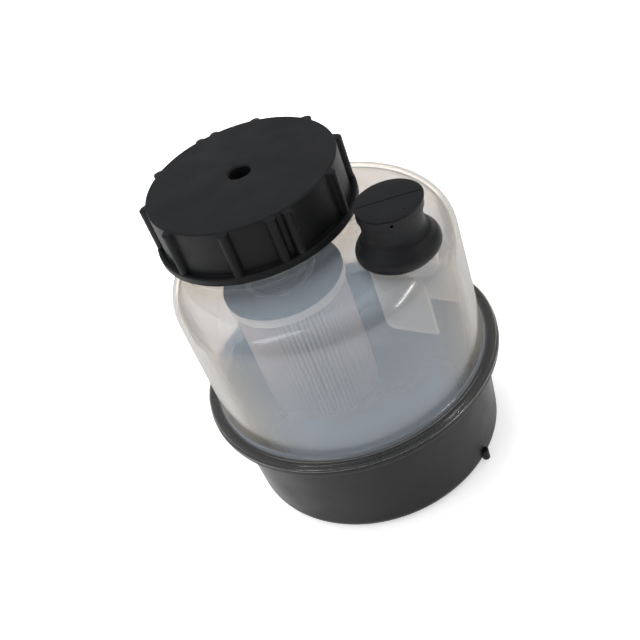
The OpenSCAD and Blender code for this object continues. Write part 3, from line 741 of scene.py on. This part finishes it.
tongue_w, tongue_t, tongue_rise, tongue_drop = 8.0, 4.2, 3.0, 14.0
tongue_turn, bevel = 31.5, 1.0
tongue_in = base_top_r - base_wall - tongue_t
tongue_out = tongue_in + tongue_t + 0.2
tongue_outline = [(tongue_in, bevel - tongue_w / 2), (tongue_in + bevel, -tongue_w / 2),
                  (tongue_out, -tongue_w / 2), (tongue_out, tongue_w / 2),
                  (tongue_in + bevel, tongue_w / 2), (tongue_in, tongue_w / 2 - bevel)]
for side in (-1, 1):
    turn = Matrix.Rotation(math.radians(90 - side * (90 - tongue_turn)), 4, "Z")
    combine(base, prism("tongue", tongue_outline, weld_z - tongue_drop, weld_z + tongue_rise, turn))
print("hollow base cup with pedestal, duct and tongues:", len(base.data.polygons), "faces")

# %% Bores and the seats of the inserts
mouth = spigot_reach + 1
cut(base, turned_along_y("suction_bore", bar(suction_bore_r, base_low_r / 2, mouth),
                         suction_x, suction_z))
cut(base, turned_along_y("return_bore", bar(return_bore_r, neck_y, mouth), neck_x, return_z))
cut(base, lathe("riser_bore", bar(return_bore_r, return_z, nipple_top_z + 1), neck_axis, segments=96))
insert_l, insert_r = 16.0, 5.0
for side in (-1, 1):
    cut(base, turned_along_y("insert_seat", bar(insert_r, boss_y - insert_l, boss_y + 1),
                             side * boss_x, boss_z))
finish(base, satin_black_nylon)
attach(base, "housing")
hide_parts("lower_housing")
print("base cup with its bores:", len(base.data.polygons), "faces")

# %% [markdown]
# Dome
#
# The dome is one moulding too: a thin wall that rises from a beaded weld flange, rolls over a
# round shoulder into a flat roof, and carries the neck and the breather's nipple. The outline is
# drawn once for the outside and once, smaller by the wall, for the inside. It must be one closed
# mesh without faces inside its walls, because every face of a translucent material adds its veil.

# %% Dome sizes and outlines
dome_r = 67.7
dome_wall = 2.5
shoulder_r = 12.0
lip_h = 1.3
bead_h = 2.9
bead_r = 1.7
groove_z = weld_z + bead_h - 1.2
neck_r, neck_wall, collar_w, collar_h = 40.5, 3.0, 2.6, 2.0
neck_top_z = node_box("cap_seal")[0].z
seat_r, nipple_outer_r, nipple_bore_r = 15.4, 7.0, 4.5
foot_r = 1.6
bead_x = flange_r - 2.7

dome_outside = (
    [(0, weld_z), (flange_r - 0.4, weld_z), (flange_r, weld_z + 0.4), (flange_r, weld_z + lip_h - 0.4),
     (flange_r - 0.35, weld_z + lip_h), (flange_r - 0.8, weld_z + lip_h + 0.1)]
    + arc(bead_x, weld_z + bead_h - bead_r, bead_r, 15, 140, 10)
    + arc(bead_x - 2.3, groove_z + 0.5, 0.6, -60, -110, 3)
    + arc(dome_r + foot_r, groove_z + foot_r, foot_r, -90, -180, 8)
    + arc(dome_r - shoulder_r, roof_z - shoulder_r, shoulder_r, 0, 90, 28)
    + [(0, roof_z)]
)
inner_r = shoulder_r - dome_wall
dome_inside = (
    [(0, weld_z - 1), (dome_r - dome_wall, weld_z - 1)]
    + arc(dome_r - shoulder_r, roof_z - shoulder_r, inner_r, 0, 90, 24)
    + [(0, roof_z - dome_wall)]
)

# %% Dome body
dome = lathe("dome", dome_outside, segments=256)
seat = lathe("seat", [(0, roof_z - shoulder_r), (seat_r, roof_z - shoulder_r), (seat_r, seat_z - 0.4),
                      (seat_r - 0.4, seat_z), (0, seat_z)], breather_axis)
combine(dome, seat)
cut(dome, lathe("room", dome_inside, segments=256))
under_seat = bar(seat_r - dome_wall, roof_z - shoulder_r - 1, seat_z - dome_wall)
cut(dome, lathe("under_seat", under_seat, breather_axis))
print("dome shell:", len(dome.data.polygons), "faces")

# %% Neck and nipple
neck_low = roof_z - shoulder_r
neck_outside = ([(0, neck_low), (neck_r + collar_w, neck_low)]
                + arc(neck_r + collar_w - 0.6, roof_z + collar_h - 0.6, 0.6, 0, 90, 5)
                + arc(neck_r + 0.5, roof_z + collar_h + 0.5, 0.5, -90, -180, 4)
                + [(neck_r, neck_top_z - 0.5), (neck_r - 0.5, neck_top_z), (0, neck_top_z)])
neck = lathe("neck", neck_outside, neck_axis)
cut(neck, lathe("inside_room", dome_inside, segments=256))
combine(dome, neck)
vent_nipple_z = seat_z + 14.0
nipple_foot = seat_z - dome_wall
nipple = lathe("nipple", [(0, nipple_foot), (nipple_outer_r, nipple_foot),
                          (nipple_outer_r, vent_nipple_z - 0.6),
                          (nipple_outer_r - 0.6, vent_nipple_z), (0, vent_nipple_z)],
               breather_axis, segments=96)
combine(dome, nipple)
cut(dome, lathe("neck_bore", bar(neck_r - neck_wall, neck_low - 1, neck_top_z + 1), neck_axis))
cut(dome, lathe("nipple_bore", bar(nipple_bore_r, nipple_foot - 1, vent_nipple_z + 1),
                breather_axis, segments=96))

finish(dome, milky_dome, crease=38)
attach(dome, "housing")
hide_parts("upper_housing")
print("dome:", len(dome.data.polygons), "faces")

# %% [markdown]
# Splash plates
#
# Two plates hang from the roof beside the breather's vent, so that oil that splashes in a bend
# doesn't reach it. They belong to the dome's moulding. Here they are drawn as a mesh of their own,
# a hair away from the dome's inner face, because the eye sees them as crisp, milky outlines where
# two more walls lie behind the dome's: their faces have to stay whole up to the roof and the wall.

# %% Splash plates
splash_turn = math.radians(-43)
splash_off, splash_t, splash_in, splash_corner_r = 12.7, 1.6, 39.5, 4.0
splash_low, splash_step = 38.0, 4.2
hair = 0.02
within_wall = ([(0, weld_z), (dome_r - dome_wall - hair, weld_z)]
               + arc(dome_r - shoulder_r, roof_z - shoulder_r, inner_r - hair, 0, 90, 24)
               + [(0, roof_z - dome_wall - hair)])
plates = None
for side in (-1, 1):
    low_z = weld_z + splash_low - (splash_step if side > 0 else 0)
    turn = Matrix.Rotation(splash_turn, 4, "Z") @ Matrix.Translation(
        (0, side * splash_off + splash_t / 2, 0)) @ Matrix.Rotation(math.radians(90), 4, "X")
    outline = arc(splash_in + splash_corner_r, low_z + splash_corner_r, splash_corner_r, 180, 270, 8)
    outline += [(dome_r, low_z), (dome_r, roof_z), (splash_in, roof_z)]
    plate = prism("plate", outline, 0, splash_t, turn)
    combine(plate, lathe("within_wall", within_wall, segments=256), "INTERSECT")
    plates = plate if plates is None else combine(plates, plate)
plates.name = "splash_plates"
flat_way = (-math.sin(splash_turn), math.cos(splash_turn), 0.0)
finish(plates, frosted_polypropylene(flat_way), crease=38)
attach(plates, "housing")
print("splash plates:", len(plates.data.polygons), "faces")

# %% [markdown]
# Screw cap
#
# The cap's side is a wall with a lower band and twelve half-round grip ribs. Where a mould has ribs
# that run into a band, every inner corner is filleted. So the side is drawn as one skin: its
# radius at each angle and height is a soft maximum of the wall with its band and of the ribs, up
# to the first rows of the top's rounded edge. The columns stand close together at the ribs and
# wide apart between them.

# %% Cap sizes
cap_wall_r, cap_bore_r, rim_r, rim_h = 44.8, 41.6, 48.2, 3.6
rib_r, rib_crest_r, rib_drop = 2.3, 47.9, 0.35
rib_count, rib_phase, pair_angle = 10, 34.3, 9.6
recess_mouth_r, recess_r, recess_bevel, recess_h, recess_wall = 6.0, 5.2, 0.8, 7.0, 2.6
cap_under_z = cap_top_z - 3.2
rib_axis_r = rib_crest_r - rib_r
rib_top_z = cap_top_z - rib_drop
rib_foot_r, rib_edge, rib_fillet, rib_end = cap_wall_r - 0.3, rib_r - 0.12, 0.55, 0.8
corner, foot_dip, join_reach = 0.5, 0.3, 0.45


def soft_max(a, b, reach):
    """The larger of two values, rounded where they are closer than the reach."""
    near = max(reach - abs(a - b), 0.0)
    return max(a, b) + near * near / (4 * reach)


def rib_radius(off, z):
    """Radius of a rib's skin at an angle off its axis and a height, or less than the wall's."""
    side = abs(rib_axis_r * math.sin(off))
    nub = max(0.0, z - (rib_top_z - rib_end)) / rib_end
    if nub >= 1.0 or side > rib_r + 0.5:
        return 0.0
    crest = rib_axis_r * math.cos(off) + math.sqrt(rib_r ** 2 - min(side, rib_edge) ** 2)
    if side > rib_edge:
        t = min(1.0, (side - rib_edge) / rib_fillet)
        crest += (rib_foot_r - crest) * (t * t * (3 - 2 * t))
    return rib_foot_r + (crest - rib_foot_r) * math.sqrt(1 - nub * nub)


rib_angles = [rib_phase + i * 360 / rib_count for i in range(rib_count)]
rib_angles += [rib_phase + i * 360 / rib_count - pair_angle for i in (2, 7)]
rib_angles = sorted(math.radians(a % 360) for a in rib_angles)
print("ribs at", [round(math.degrees(a)) for a in rib_angles], "degrees")

# %% Cap columns
fan = [0, 0.5, 1.0, 1.4, 1.8, 2.15, 2.4, 2.6, 2.72, 2.82, 2.92, 3.05, 3.2, 3.4, 3.7, 4.1, 4.5]
columns = {round(a + way * math.radians(d), 6) for a in rib_angles for d in fan for way in (-1, 1)}
reach = math.radians(fan[-1])
for a, b in zip(rib_angles, rib_angles[1:] + [rib_angles[0] + 2 * math.pi]):
    gap = b - a - 2 * reach
    parts = max(1, round(gap / math.radians(2.0)))
    columns |= {round(a + reach + gap * i / parts, 6) for i in range(1, parts)}
columns = sorted({round(c % (2 * math.pi), 6) for c in columns})
print(len(columns), "columns round the cap")

# %% Cap skin
rim_top = cap_rim_z + rim_h
outer_rows = (
    arc(rim_r - 0.5, cap_rim_z + 0.5, 0.5, -90, 0, 4)
    + arc(rim_r - 0.8, rim_top - 0.8, 0.8, 0, 90, 7)
    + [(rim_r - 1.4, rim_top + 0.06), (cap_wall_r + corner + 0.7, rim_top + 0.1)]
    + arc(cap_wall_r + corner, rim_top - foot_dip + corner, corner, -60, -180, 7)
    + [(cap_wall_r, rim_top + corner + (cap_top_z - 2.2 - rim_top - corner) * i / 9)
       for i in range(1, 9)]
    + [(cap_wall_r, cap_top_z - 2.1 + 0.2 * i) for i in range(6)]
)
top_rows = (arc(cap_wall_r - 0.9, cap_top_z - 0.9, 0.9, 0, 90, 6)
            + [(38, cap_top_z), (30, cap_top_z), (20, cap_top_z), (12, cap_top_z)]
            + arc(recess_mouth_r + 0.25, cap_top_z - 0.25, 0.25, 90, 135, 3)
            + [(recess_r, cap_top_z - recess_bevel), (recess_r, cap_top_z - recess_h + 0.5),
               (recess_r - 0.5, cap_top_z - recess_h), (0, cap_top_z - recess_h)])
boss_out, boss_end = recess_r + recess_wall, cap_top_z - recess_h - recess_wall
inner_rows = ([(0, boss_end), (boss_out - 0.4, boss_end), (boss_out, boss_end + 0.4),
               (boss_out, cap_under_z - 0.8)]
              + arc(boss_out + 0.8, cap_under_z - 0.8, 0.8, 180, 90, 4)
              + arc(cap_bore_r - 1.0, cap_under_z - 1.0, 1.0, 90, 0, 5)
              + [(cap_bore_r, cap_rim_z + 0.6), (cap_bore_r + 0.6, cap_rim_z)])
rows = inner_rows + outer_rows + top_rows
edge_rows = 3
first_outer = len(inner_rows)
last_outer = first_outer + len(outer_rows) + edge_rows

verts, index_rows = [], []
for k, (radius, z) in enumerate(rows):
    if radius < 1e-6:
        index_rows.append([len(verts)] * len(columns))
        verts.append((neck_x, neck_y, z))
        continue
    index_rows.append([len(verts) + i for i in range(len(columns))])
    for a in columns:
        r = radius
        if first_outer <= k < last_outer:
            off = min(abs((a - b + math.pi) % (2 * math.pi) - math.pi) for b in rib_angles)
            r = soft_max(radius, rib_radius(off, z), join_reach)
            r = radius if r < radius + 0.001 else r
        verts.append((neck_x + r * math.cos(a), neck_y + r * math.sin(a), z))
faces = []
for below, above in zip(index_rows, index_rows[1:]):
    for i in range(len(columns)):
        j = (i + 1) % len(columns)
        faces.append(list(dict.fromkeys([below[i], below[j], above[j], above[i]])))
cap = mesh_object("screw_cap", verts, faces)
finish(cap, grained_black_cap, crease=40)
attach(cap, "cap")
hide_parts("filler_cap")
print("cap:", len(cap.data.polygons), "faces")

# %% [markdown]
# Breather
#
# The breather is a soft rubber mushroom pressed on the dome's nipple. Its head has a slit that
# opens when the dome breathes out, and a small vent in its side. The photo also shows a pinprick
# beside the slit. The breather was pressed on by hand, so its head leans a little. The lean starts
# above the nipple, which is stiff.

# %% Breather
flange, waist, head = (breather_high.x - breather_low.x) / 2, 13.0, 14.7
breather_h = breather_high.z - breather_low.z
head_z = seat_z + breather_h
breather_outline = (
    [(0, seat_z), (flange - 2.9, seat_z)]
    + arc(flange - 3.6, seat_z + 4.2, 3.6, -72, 0, 7)
    + arc(flange - 5.6, seat_z + 4.2, 5.6, 0, 52, 8)[1:]
    + arc(waist + 3.8, seat_z + 13.8, 3.8, 246, 180, 9)
    + [(waist + 0.25, seat_z + 17.5), (waist + 0.4, head_z - 5.6)]
    + arc(head - 0.9, head_z - 4.9, 0.5, -100, 0, 5)
    + [(head - 0.4, head_z - 1.75)]
    + arc(head - 0.4, head_z - 1.4, 0.3, 260, 130, 4)[:-1]
    + arc(head - 0.35, head_z - 0.75, 0.35, -60, 70, 6)
    + [(head - 2.4, head_z - 0.16), (head - 5, head_z - 0.04), (0, head_z)]
)
breather = lathe("breather", breather_outline, breather_axis, segments=160)
head_t = 2.6
grip_r, grip_top, room_r, room_top = nipple_outer_r + 0.05, vent_nipple_z - 0.1, 9, head_z - head_t
nipple_space = [(0, seat_z - 1), (grip_r, seat_z - 1), (grip_r, grip_top), (room_r, grip_top),
                (room_r, room_top), (0, room_top)]
cut(breather, lathe("nipple_space", nipple_space, breather_axis, segments=96))
slit_turn, slit_w, slit_h, slit_l = math.radians(-9), 0.5, 1.3, head - 1.2
slit_outline = [(-slit_l, -slit_w / 2), (slit_l, -slit_w / 2), (slit_l, slit_w / 2),
                (-slit_l, slit_w / 2)]
slit_place = Matrix.Translation((breather_x, breather_y, 0)) @ Matrix.Rotation(slit_turn, 4, "Z")
cut(breather, prism("slit", slit_outline, head_z - slit_h, head_z + 1, slit_place))
pit_x, pit_y, pit_r, pit_h = 3.4, -10.3, 0.35, 0.7
cut(breather, lathe("pit", bar(pit_r, head_z - pit_h, head_z + 1),
                    (breather_x + pit_x, breather_y + pit_y), segments=24))
vent_turn, vent_r, vent_z = math.radians(-103), 0.7, seat_z + 23.0
vent = lathe("vent", bar(vent_r, 7, 20), segments=24)
vent.data.transform(Matrix.Translation(Vector((breather_x, breather_y, vent_z)) * MM)
                    @ Matrix.Rotation(vent_turn, 4, "Z") @ Matrix.Rotation(math.radians(90), 4, "Y"))
cut(breather, vent)
LEAN = 1.0
lean_from = vent_nipple_z + 0.6
for v in breather.data.vertices:
    t = max(0.0, v.co.z / MM - lean_from) / (head_z - lean_from)
    v.co.x += LEAN * MM * t ** 1.4
finish(breather, black_epdm_rubber, crease=35)
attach(breather, "breather")
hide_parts("breather_cap")
print("breather:", len(breather.data.polygons), "faces, head leaning", LEAN, "mm")

# %% [markdown]
# Filter paper
#
# The paper is one long strip, folded into 76 pleats and closed to a ring. Geometry Nodes makes it
# from a flat grid: the grid's length becomes the way round, its width the height, and a folded
# wave of the angle sets the radius. Paper creases sharply but never perfectly evenly, so each
# pleat is shifted a little by a noise, which is the same in every run. The sheet gets its
# thickness last.


# %% Geometry node helpers
def node_group(name, sockets):
    """A tree with named inputs, each (name, kind, default); also its given values and its end."""
    tree = bpy.data.node_groups.new(name, "GeometryNodeTree")
    tree.interface.new_socket("Geometry", in_out="OUTPUT", socket_type="NodeSocketGeometry")
    for label, kind, default in sockets:
        made = tree.interface.new_socket(label, in_out="INPUT", socket_type=kind)
        if default is not None:
            made.default_value = default
    return tree, tree.nodes.new("NodeGroupInput").outputs, tree.nodes.new("NodeGroupOutput")


def give_out(tree, geometry, given, result):
    """Makes a tree's geometry real, gives it its material and hands it over."""
    real = add(tree, "GeometryNodeRealizeInstances", {"Geometry": geometry})
    dressed = add(tree, "GeometryNodeSetMaterial", {"Geometry": real, "Material": given["Material"]})
    tree.links.new(dressed.outputs[0], result.inputs[0])


def round_axis(tree, radius, angle, height):
    """The place at a radius, an angle and a height about the upright axis."""
    return add(tree, "ShaderNodeCombineXYZ", {
        "X": maths(tree, "MULTIPLY", radius, maths(tree, "COSINE", angle)),
        "Y": maths(tree, "MULTIPLY", radius, maths(tree, "SINE", angle)), "Z": height})


def grow(name, tree, values, material):
    """Runs a tree on an empty mesh with named inputs and keeps the result as a plain mesh."""
    piece = mesh_object(name, [], [])
    modifier = piece.modifiers.new("grow", "NODES")
    modifier.node_group = tree
    names = {item.name: item.identifier for item in tree.interface.items_tree
             if item.item_type == "SOCKET" and item.in_out == "INPUT"}
    for label, value in values.items():
        modifier[names[label]] = value
    modifier[names["Material"]] = material
    return settle(piece)


def to_neck_axis(piece, z):
    """Moves a mesh from the origin to the neck's axis, at a height in millimetres."""
    piece.data.transform(Matrix.Translation(Vector((neck_x, neck_y, z)) * MM))


# %% Pleat tree
def pleat_tree():
    """A folded ring of paper from a grid; all lengths in metres."""
    tree, given, result = node_group("folded_paper", [
        ("Pleats", "NodeSocketInt", 76), ("Outer radius", "NodeSocketFloat", 0.03),
        ("Inner radius", "NodeSocketFloat", 0.02), ("Height", "NodeSocketFloat", 0.07),
        ("Thickness", "NodeSocketFloat", 0.0005), ("Unevenness", "NodeSocketFloat", 0.1),
        ("Material", "NodeSocketMaterial", None)])
    sides = maths(tree, "ADD", maths(tree, "MULTIPLY", given["Pleats"], 12.0), 1.0)
    grid = add(tree, "GeometryNodeMeshGrid", {
        "Size X": 1.0, "Size Y": 1.0, "Vertices X": sides, "Vertices Y": 9})
    place = add(tree, "ShaderNodeSeparateXYZ", {0: add(tree, "GeometryNodeInputPosition")}).outputs
    pleat = maths(tree, "MULTIPLY", maths(tree, "ADD", place["X"], 0.5), given["Pleats"])
    which = maths(tree, "FLOORED_MODULO", maths(tree, "ROUND", pleat), given["Pleats"])
    height = maths(tree, "MULTIPLY", maths(tree, "ADD", place["Y"], 0.5), given["Height"])
    where = add(tree, "ShaderNodeCombineXYZ", {"X": which, "Y": maths(tree, "MULTIPLY", height, 14.0)})
    chance = add(tree, "ShaderNodeTexNoise", {"Vector": where, "Scale": 0.83, "Detail": 0.0})
    shift = maths(tree, "MULTIPLY", maths(tree, "SUBTRACT", chance, 0.5), given["Unevenness"])
    turn = maths(tree, "MULTIPLY", pleat, 2 * math.pi)
    fold = maths(tree, "ARCSINE", maths(tree, "MULTIPLY", maths(tree, "COSINE", turn), 0.9))
    share = maths(tree, "ADD", maths(tree, "DIVIDE", fold, 2 * math.asin(0.9)), 0.5)
    depth = maths(tree, "SUBTRACT", given["Outer radius"], given["Inner radius"])
    radius = maths(tree, "ADD", given["Inner radius"], maths(tree, "MULTIPLY", share, depth))
    shifted = maths(tree, "ADD", pleat, maths(tree, "MULTIPLY", shift, share))
    angle = maths(tree, "MULTIPLY", maths(tree, "DIVIDE", shifted, given["Pleats"]), 2 * math.pi)
    wrapped = add(tree, "GeometryNodeSetPosition", {
        "Geometry": grid, "Position": round_axis(tree, radius, angle, height)})
    ring = add(tree, "GeometryNodeMergeByDistance", {"Geometry": wrapped, "Distance": 0.01 * MM})
    thick = add(tree, "GeometryNodeExtrudeMesh", {
        "Mesh": ring, "Individual": False, "Offset Scale": given["Thickness"]})
    back_side = add(tree, "GeometryNodeFlipFaces", {"Mesh": ring})
    both = add(tree, "GeometryNodeJoinGeometry")
    tree.links.new(thick.outputs["Mesh"], both.inputs[0])
    tree.links.new(back_side.outputs[0], both.inputs[0])
    closed = add(tree, "GeometryNodeMergeByDistance", {"Geometry": both, "Distance": 0.01 * MM})
    give_out(tree, closed, given, result)
    return tree


pleat_count, pleat_depth, sheet, uneven_share = 76, 11.0, 0.4, 0.5
outer_room, inner_room = 0.45, 0.3
paper = grow("folded_paper", pleat_tree(), {
    "Pleats": pleat_count, "Outer radius": (paper_r - outer_room) * MM,
    "Inner radius": (paper_r - pleat_depth + inner_room) * MM,
    "Height": (paper_high.z - paper_low.z) * MM, "Thickness": sheet * MM,
    "Unevenness": uneven_share}, filter_paper)
to_neck_axis(paper, paper_low.z)
finish(paper, filter_paper, crease=50, weighted=False)
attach(paper, "filter")
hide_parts("pleated_paper")
print("paper:", len(paper.data.polygons), "faces")

# %% [markdown]
# Spring and threads
#
# A coil spring and a screw thread are both helices. One tree draws them: a line of points is wound
# round an axis and a small section is swept along it. The spring has a level turn at each end, so
# it stands flat, and a round section. A thread has no level turns, and its section shrinks to
# almost nothing over its run-out. The cap climbs 4 mm a turn, so that is its thread's pitch.


# %% Helix tree
def helix_tree():
    """A round section swept along a helix; all lengths in metres."""
    tree, given, result = node_group("wound_helix", [
        ("Radius", "NodeSocketFloat", 0.017), ("Turns", "NodeSocketFloat", 5.0),
        ("Rise", "NodeSocketFloat", 0.05), ("Level turns", "NodeSocketFloat", 0.0),
        ("Start", "NodeSocketFloat", 0.0), ("Section radius", "NodeSocketFloat", 0.001),
        ("Section sides", "NodeSocketInt", 16), ("Run-out", "NodeSocketFloat", 0.0),
        ("Steps", "NodeSocketInt", 360), ("Material", "NodeSocketMaterial", None)])
    line = add(tree, "GeometryNodeMeshLine", {"Count": given["Steps"]})
    last = maths(tree, "SUBTRACT", given["Steps"], 1.0)
    share = maths(tree, "DIVIDE", add(tree, "GeometryNodeInputIndex"), last)
    turned = maths(tree, "MULTIPLY", share, given["Turns"])
    level = maths(tree, "MULTIPLY", given["Level turns"], 2.0)
    climbing = maths(tree, "SUBTRACT", given["Turns"], level)
    climbed = maths(tree, "DIVIDE", maths(tree, "SUBTRACT", turned, given["Level turns"]), climbing)
    climb = add(tree, "ShaderNodeClamp", {"Value": climbed})
    angle = maths(tree, "ADD", maths(tree, "MULTIPLY", turned, 2 * math.pi), given["Start"])
    height = maths(tree, "MULTIPLY", climb, given["Rise"])
    wound = add(tree, "GeometryNodeSetPosition", {
        "Geometry": line, "Position": round_axis(tree, given["Radius"], angle, height)})
    curve = add(tree, "GeometryNodeMeshToCurve", {"Mesh": wound})
    upright = add(tree, "GeometryNodeSetCurveNormal", {"Curve": curve}, mode="Z_UP")
    from_end = maths(tree, "MINIMUM", share, maths(tree, "SUBTRACT", 1.0, share))
    grown = maths(tree, "DIVIDE", from_end, maths(tree, "ADD", given["Run-out"], 1e-6))
    full = add(tree, "ShaderNodeClamp", {"Value": maths(tree, "ADD", grown, 0.02)})
    thin = add(tree, "GeometryNodeSetCurveRadius", {"Curve": upright, "Radius": full})
    section = add(tree, "GeometryNodeCurvePrimitiveCircle", {
        "Resolution": given["Section sides"], "Radius": given["Section radius"]})
    swept = add(tree, "GeometryNodeCurveToMesh", {
        "Curve": thin, "Profile Curve": section, "Fill Caps": True})
    if "Scale" in swept.inputs:
        tree.links.new(full.outputs[0], swept.inputs["Scale"])
    give_out(tree, swept, given, result)
    return tree


helix = helix_tree()
thread_pitch = 4.0

# %% Spring
wire_r, spring_r, spring_turns = 1.1, 17.0, 5.0
spring_len = spring_high.z - spring_low.z
spring = grow("coil_spring", helix, {
    "Radius": spring_r * MM, "Turns": spring_turns, "Rise": (spring_len - 2 * wire_r) * MM,
    "Level turns": 0.75, "Section radius": wire_r * MM, "Section sides": 20, "Steps": 480},
    drawn_spring_steel)
to_neck_axis(spring, spring_low.z + wire_r)
finish(spring, drawn_spring_steel, crease=50, weighted=False)
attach(spring, "filter")
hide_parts("pressure_spring")
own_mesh(spring)

# %% Neck and cap threads
thread_r, thread_sunk, thread_z = 0.85, 0.15, cap_rim_z + 8.2


def thread(name, radius, turns, low_z, material):
    """A thread ridge on the neck's axis that runs out at both ends."""
    made = grow(name, helix, {
        "Radius": radius * MM, "Turns": turns, "Rise": turns * thread_pitch * MM,
        "Section radius": thread_r * MM, "Section sides": 10, "Run-out": 0.05,
        "Steps": round(144 * turns) + 1}, material)
    to_neck_axis(made, low_z)
    return finish(made, material, crease=60, weighted=False)


neck_thread = thread("neck_thread", neck_r - thread_sunk, 2.5, thread_z, milky_dome)
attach(neck_thread, "housing")
cap_thread = thread("cap_thread", cap_bore_r + thread_sunk, 2.25, thread_z - thread_pitch / 2,
                    grained_black_cap)
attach(cap_thread, "cap")
print("threads of", thread_pitch, "mm pitch")

# %% [markdown]
# Seal, spring plate and end caps
#
# These are small round parts that show through the dome as soft shapes. The plate is moulded, so
# its edges are eased. The end caps are pressed from sheet, so their edges are bent round and not
# cut square.

# %% Seal ring
seal_low, seal_high = node_box("cap_seal")
seal_out = (seal_high.x - seal_low.x) / 2
seal_in = neck_r - neck_wall - 0.5
ease = 0.6
seal_outline = (
    arc(seal_out - ease, seal_low.z + ease, ease, -90, 0, 4)
    + arc(seal_out - ease, seal_high.z - ease, ease, 0, 90, 4)
    + arc(seal_in + ease, seal_high.z - ease, ease, 90, 180, 4)
    + arc(seal_in + ease, seal_low.z + ease, ease, 180, 270, 4)
)
seal = lathe("seal_ring", seal_outline, neck_axis, ring=True)
finish(seal, black_epdm_rubber)
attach(seal, "seal_ring")
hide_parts("cap_seal")
print("seal ring:", len(seal.data.polygons), "faces")

# %% Spring plate
filter_r = (plate_high.x - plate_low.x) / 2
disc_t, centring_t = 2.4, 1.8
plate_z, plate_top, disc_z = plate_low.z, plate_high.z, plate_low.z + disc_t
rim_out = spring_r - wire_r - 0.4
rim_in = rim_out - centring_t
plate_outline = ([(0, plate_z), (filter_r - 0.4, plate_z), (filter_r, plate_z + 0.4)]
                 + arc(filter_r - 0.6, disc_z - 0.6, 0.6, 0, 90, 5)
                 + [(rim_out, disc_z), (rim_out, plate_top - 0.5), (rim_out - 0.5, plate_top),
                    (rim_in + 0.3, plate_top), (rim_in, plate_top - 0.3), (rim_in, disc_z + 0.5),
                    (rim_in - 0.5, disc_z), (0, disc_z)])
spring_seat = lathe("spring_seat", plate_outline, neck_axis)
plate_black = moulded_plastic("black_plate_plastic", "17191B", 0.8, 0.8, 0.01, level=0.08)
finish(spring_seat, plate_black)
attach(spring_seat, "filter")
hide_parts("spring_plate")
print("spring plate:", len(spring_seat.data.polygons), "faces")

# %% End caps
sheet_t, bend = 0.6, 1.1


def pressed_cap(name, flat_z, hem_z, hole_r, material):
    """A pressed cup of thin sheet whose bent edge leads from its flat side to its hem."""
    way = 1 if hem_z > flat_z else -1
    outer = arc(filter_r - bend, flat_z + way * bend, bend, -90 * way, 0, 6)
    inner = arc(filter_r - bend, flat_z + way * bend, bend - sheet_t, 0, -90 * way, 6)
    outline = ([(hole_r, flat_z)] + outer + [(filter_r, hem_z), (filter_r - sheet_t, hem_z)]
               + inner + [(hole_r, flat_z + way * sheet_t)])
    made = lathe(name, outline, neck_axis, ring=hole_r > 0)
    finish(made, material)
    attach(made, "filter")
    return made


upper_end = pressed_cap("upper_end_cap", top_cap_high.z, top_cap_low.z, 0.0, zinc_plated_sheet)
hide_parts("filter_top_cap")
lower_end = pressed_cap("lower_end_cap", bottom_cap_low.z, bottom_cap_high.z, nipple_r + 1.0,
                        shaded_sheet)
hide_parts("filter_bottom_cap")
print("end caps:", len(upper_end.data.polygons), "and", len(lower_end.data.polygons), "faces")

# %% [markdown]
# What stays as it was made
#
# The perforated centre tube, the filter's grommet and the brass inserts already have their true
# form as solids. They only need their material.

# %% Dress the other solids
for name, material in (("filter_core", zinc_plated_sheet), ("filter_seal", black_epdm_rubber),
                       ("mounting_inserts", turned_brass)):
    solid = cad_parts[name]
    solid.data.materials.clear()
    solid.data.materials.append(material)
    print(name, "keeps its solid and gets", material.name)
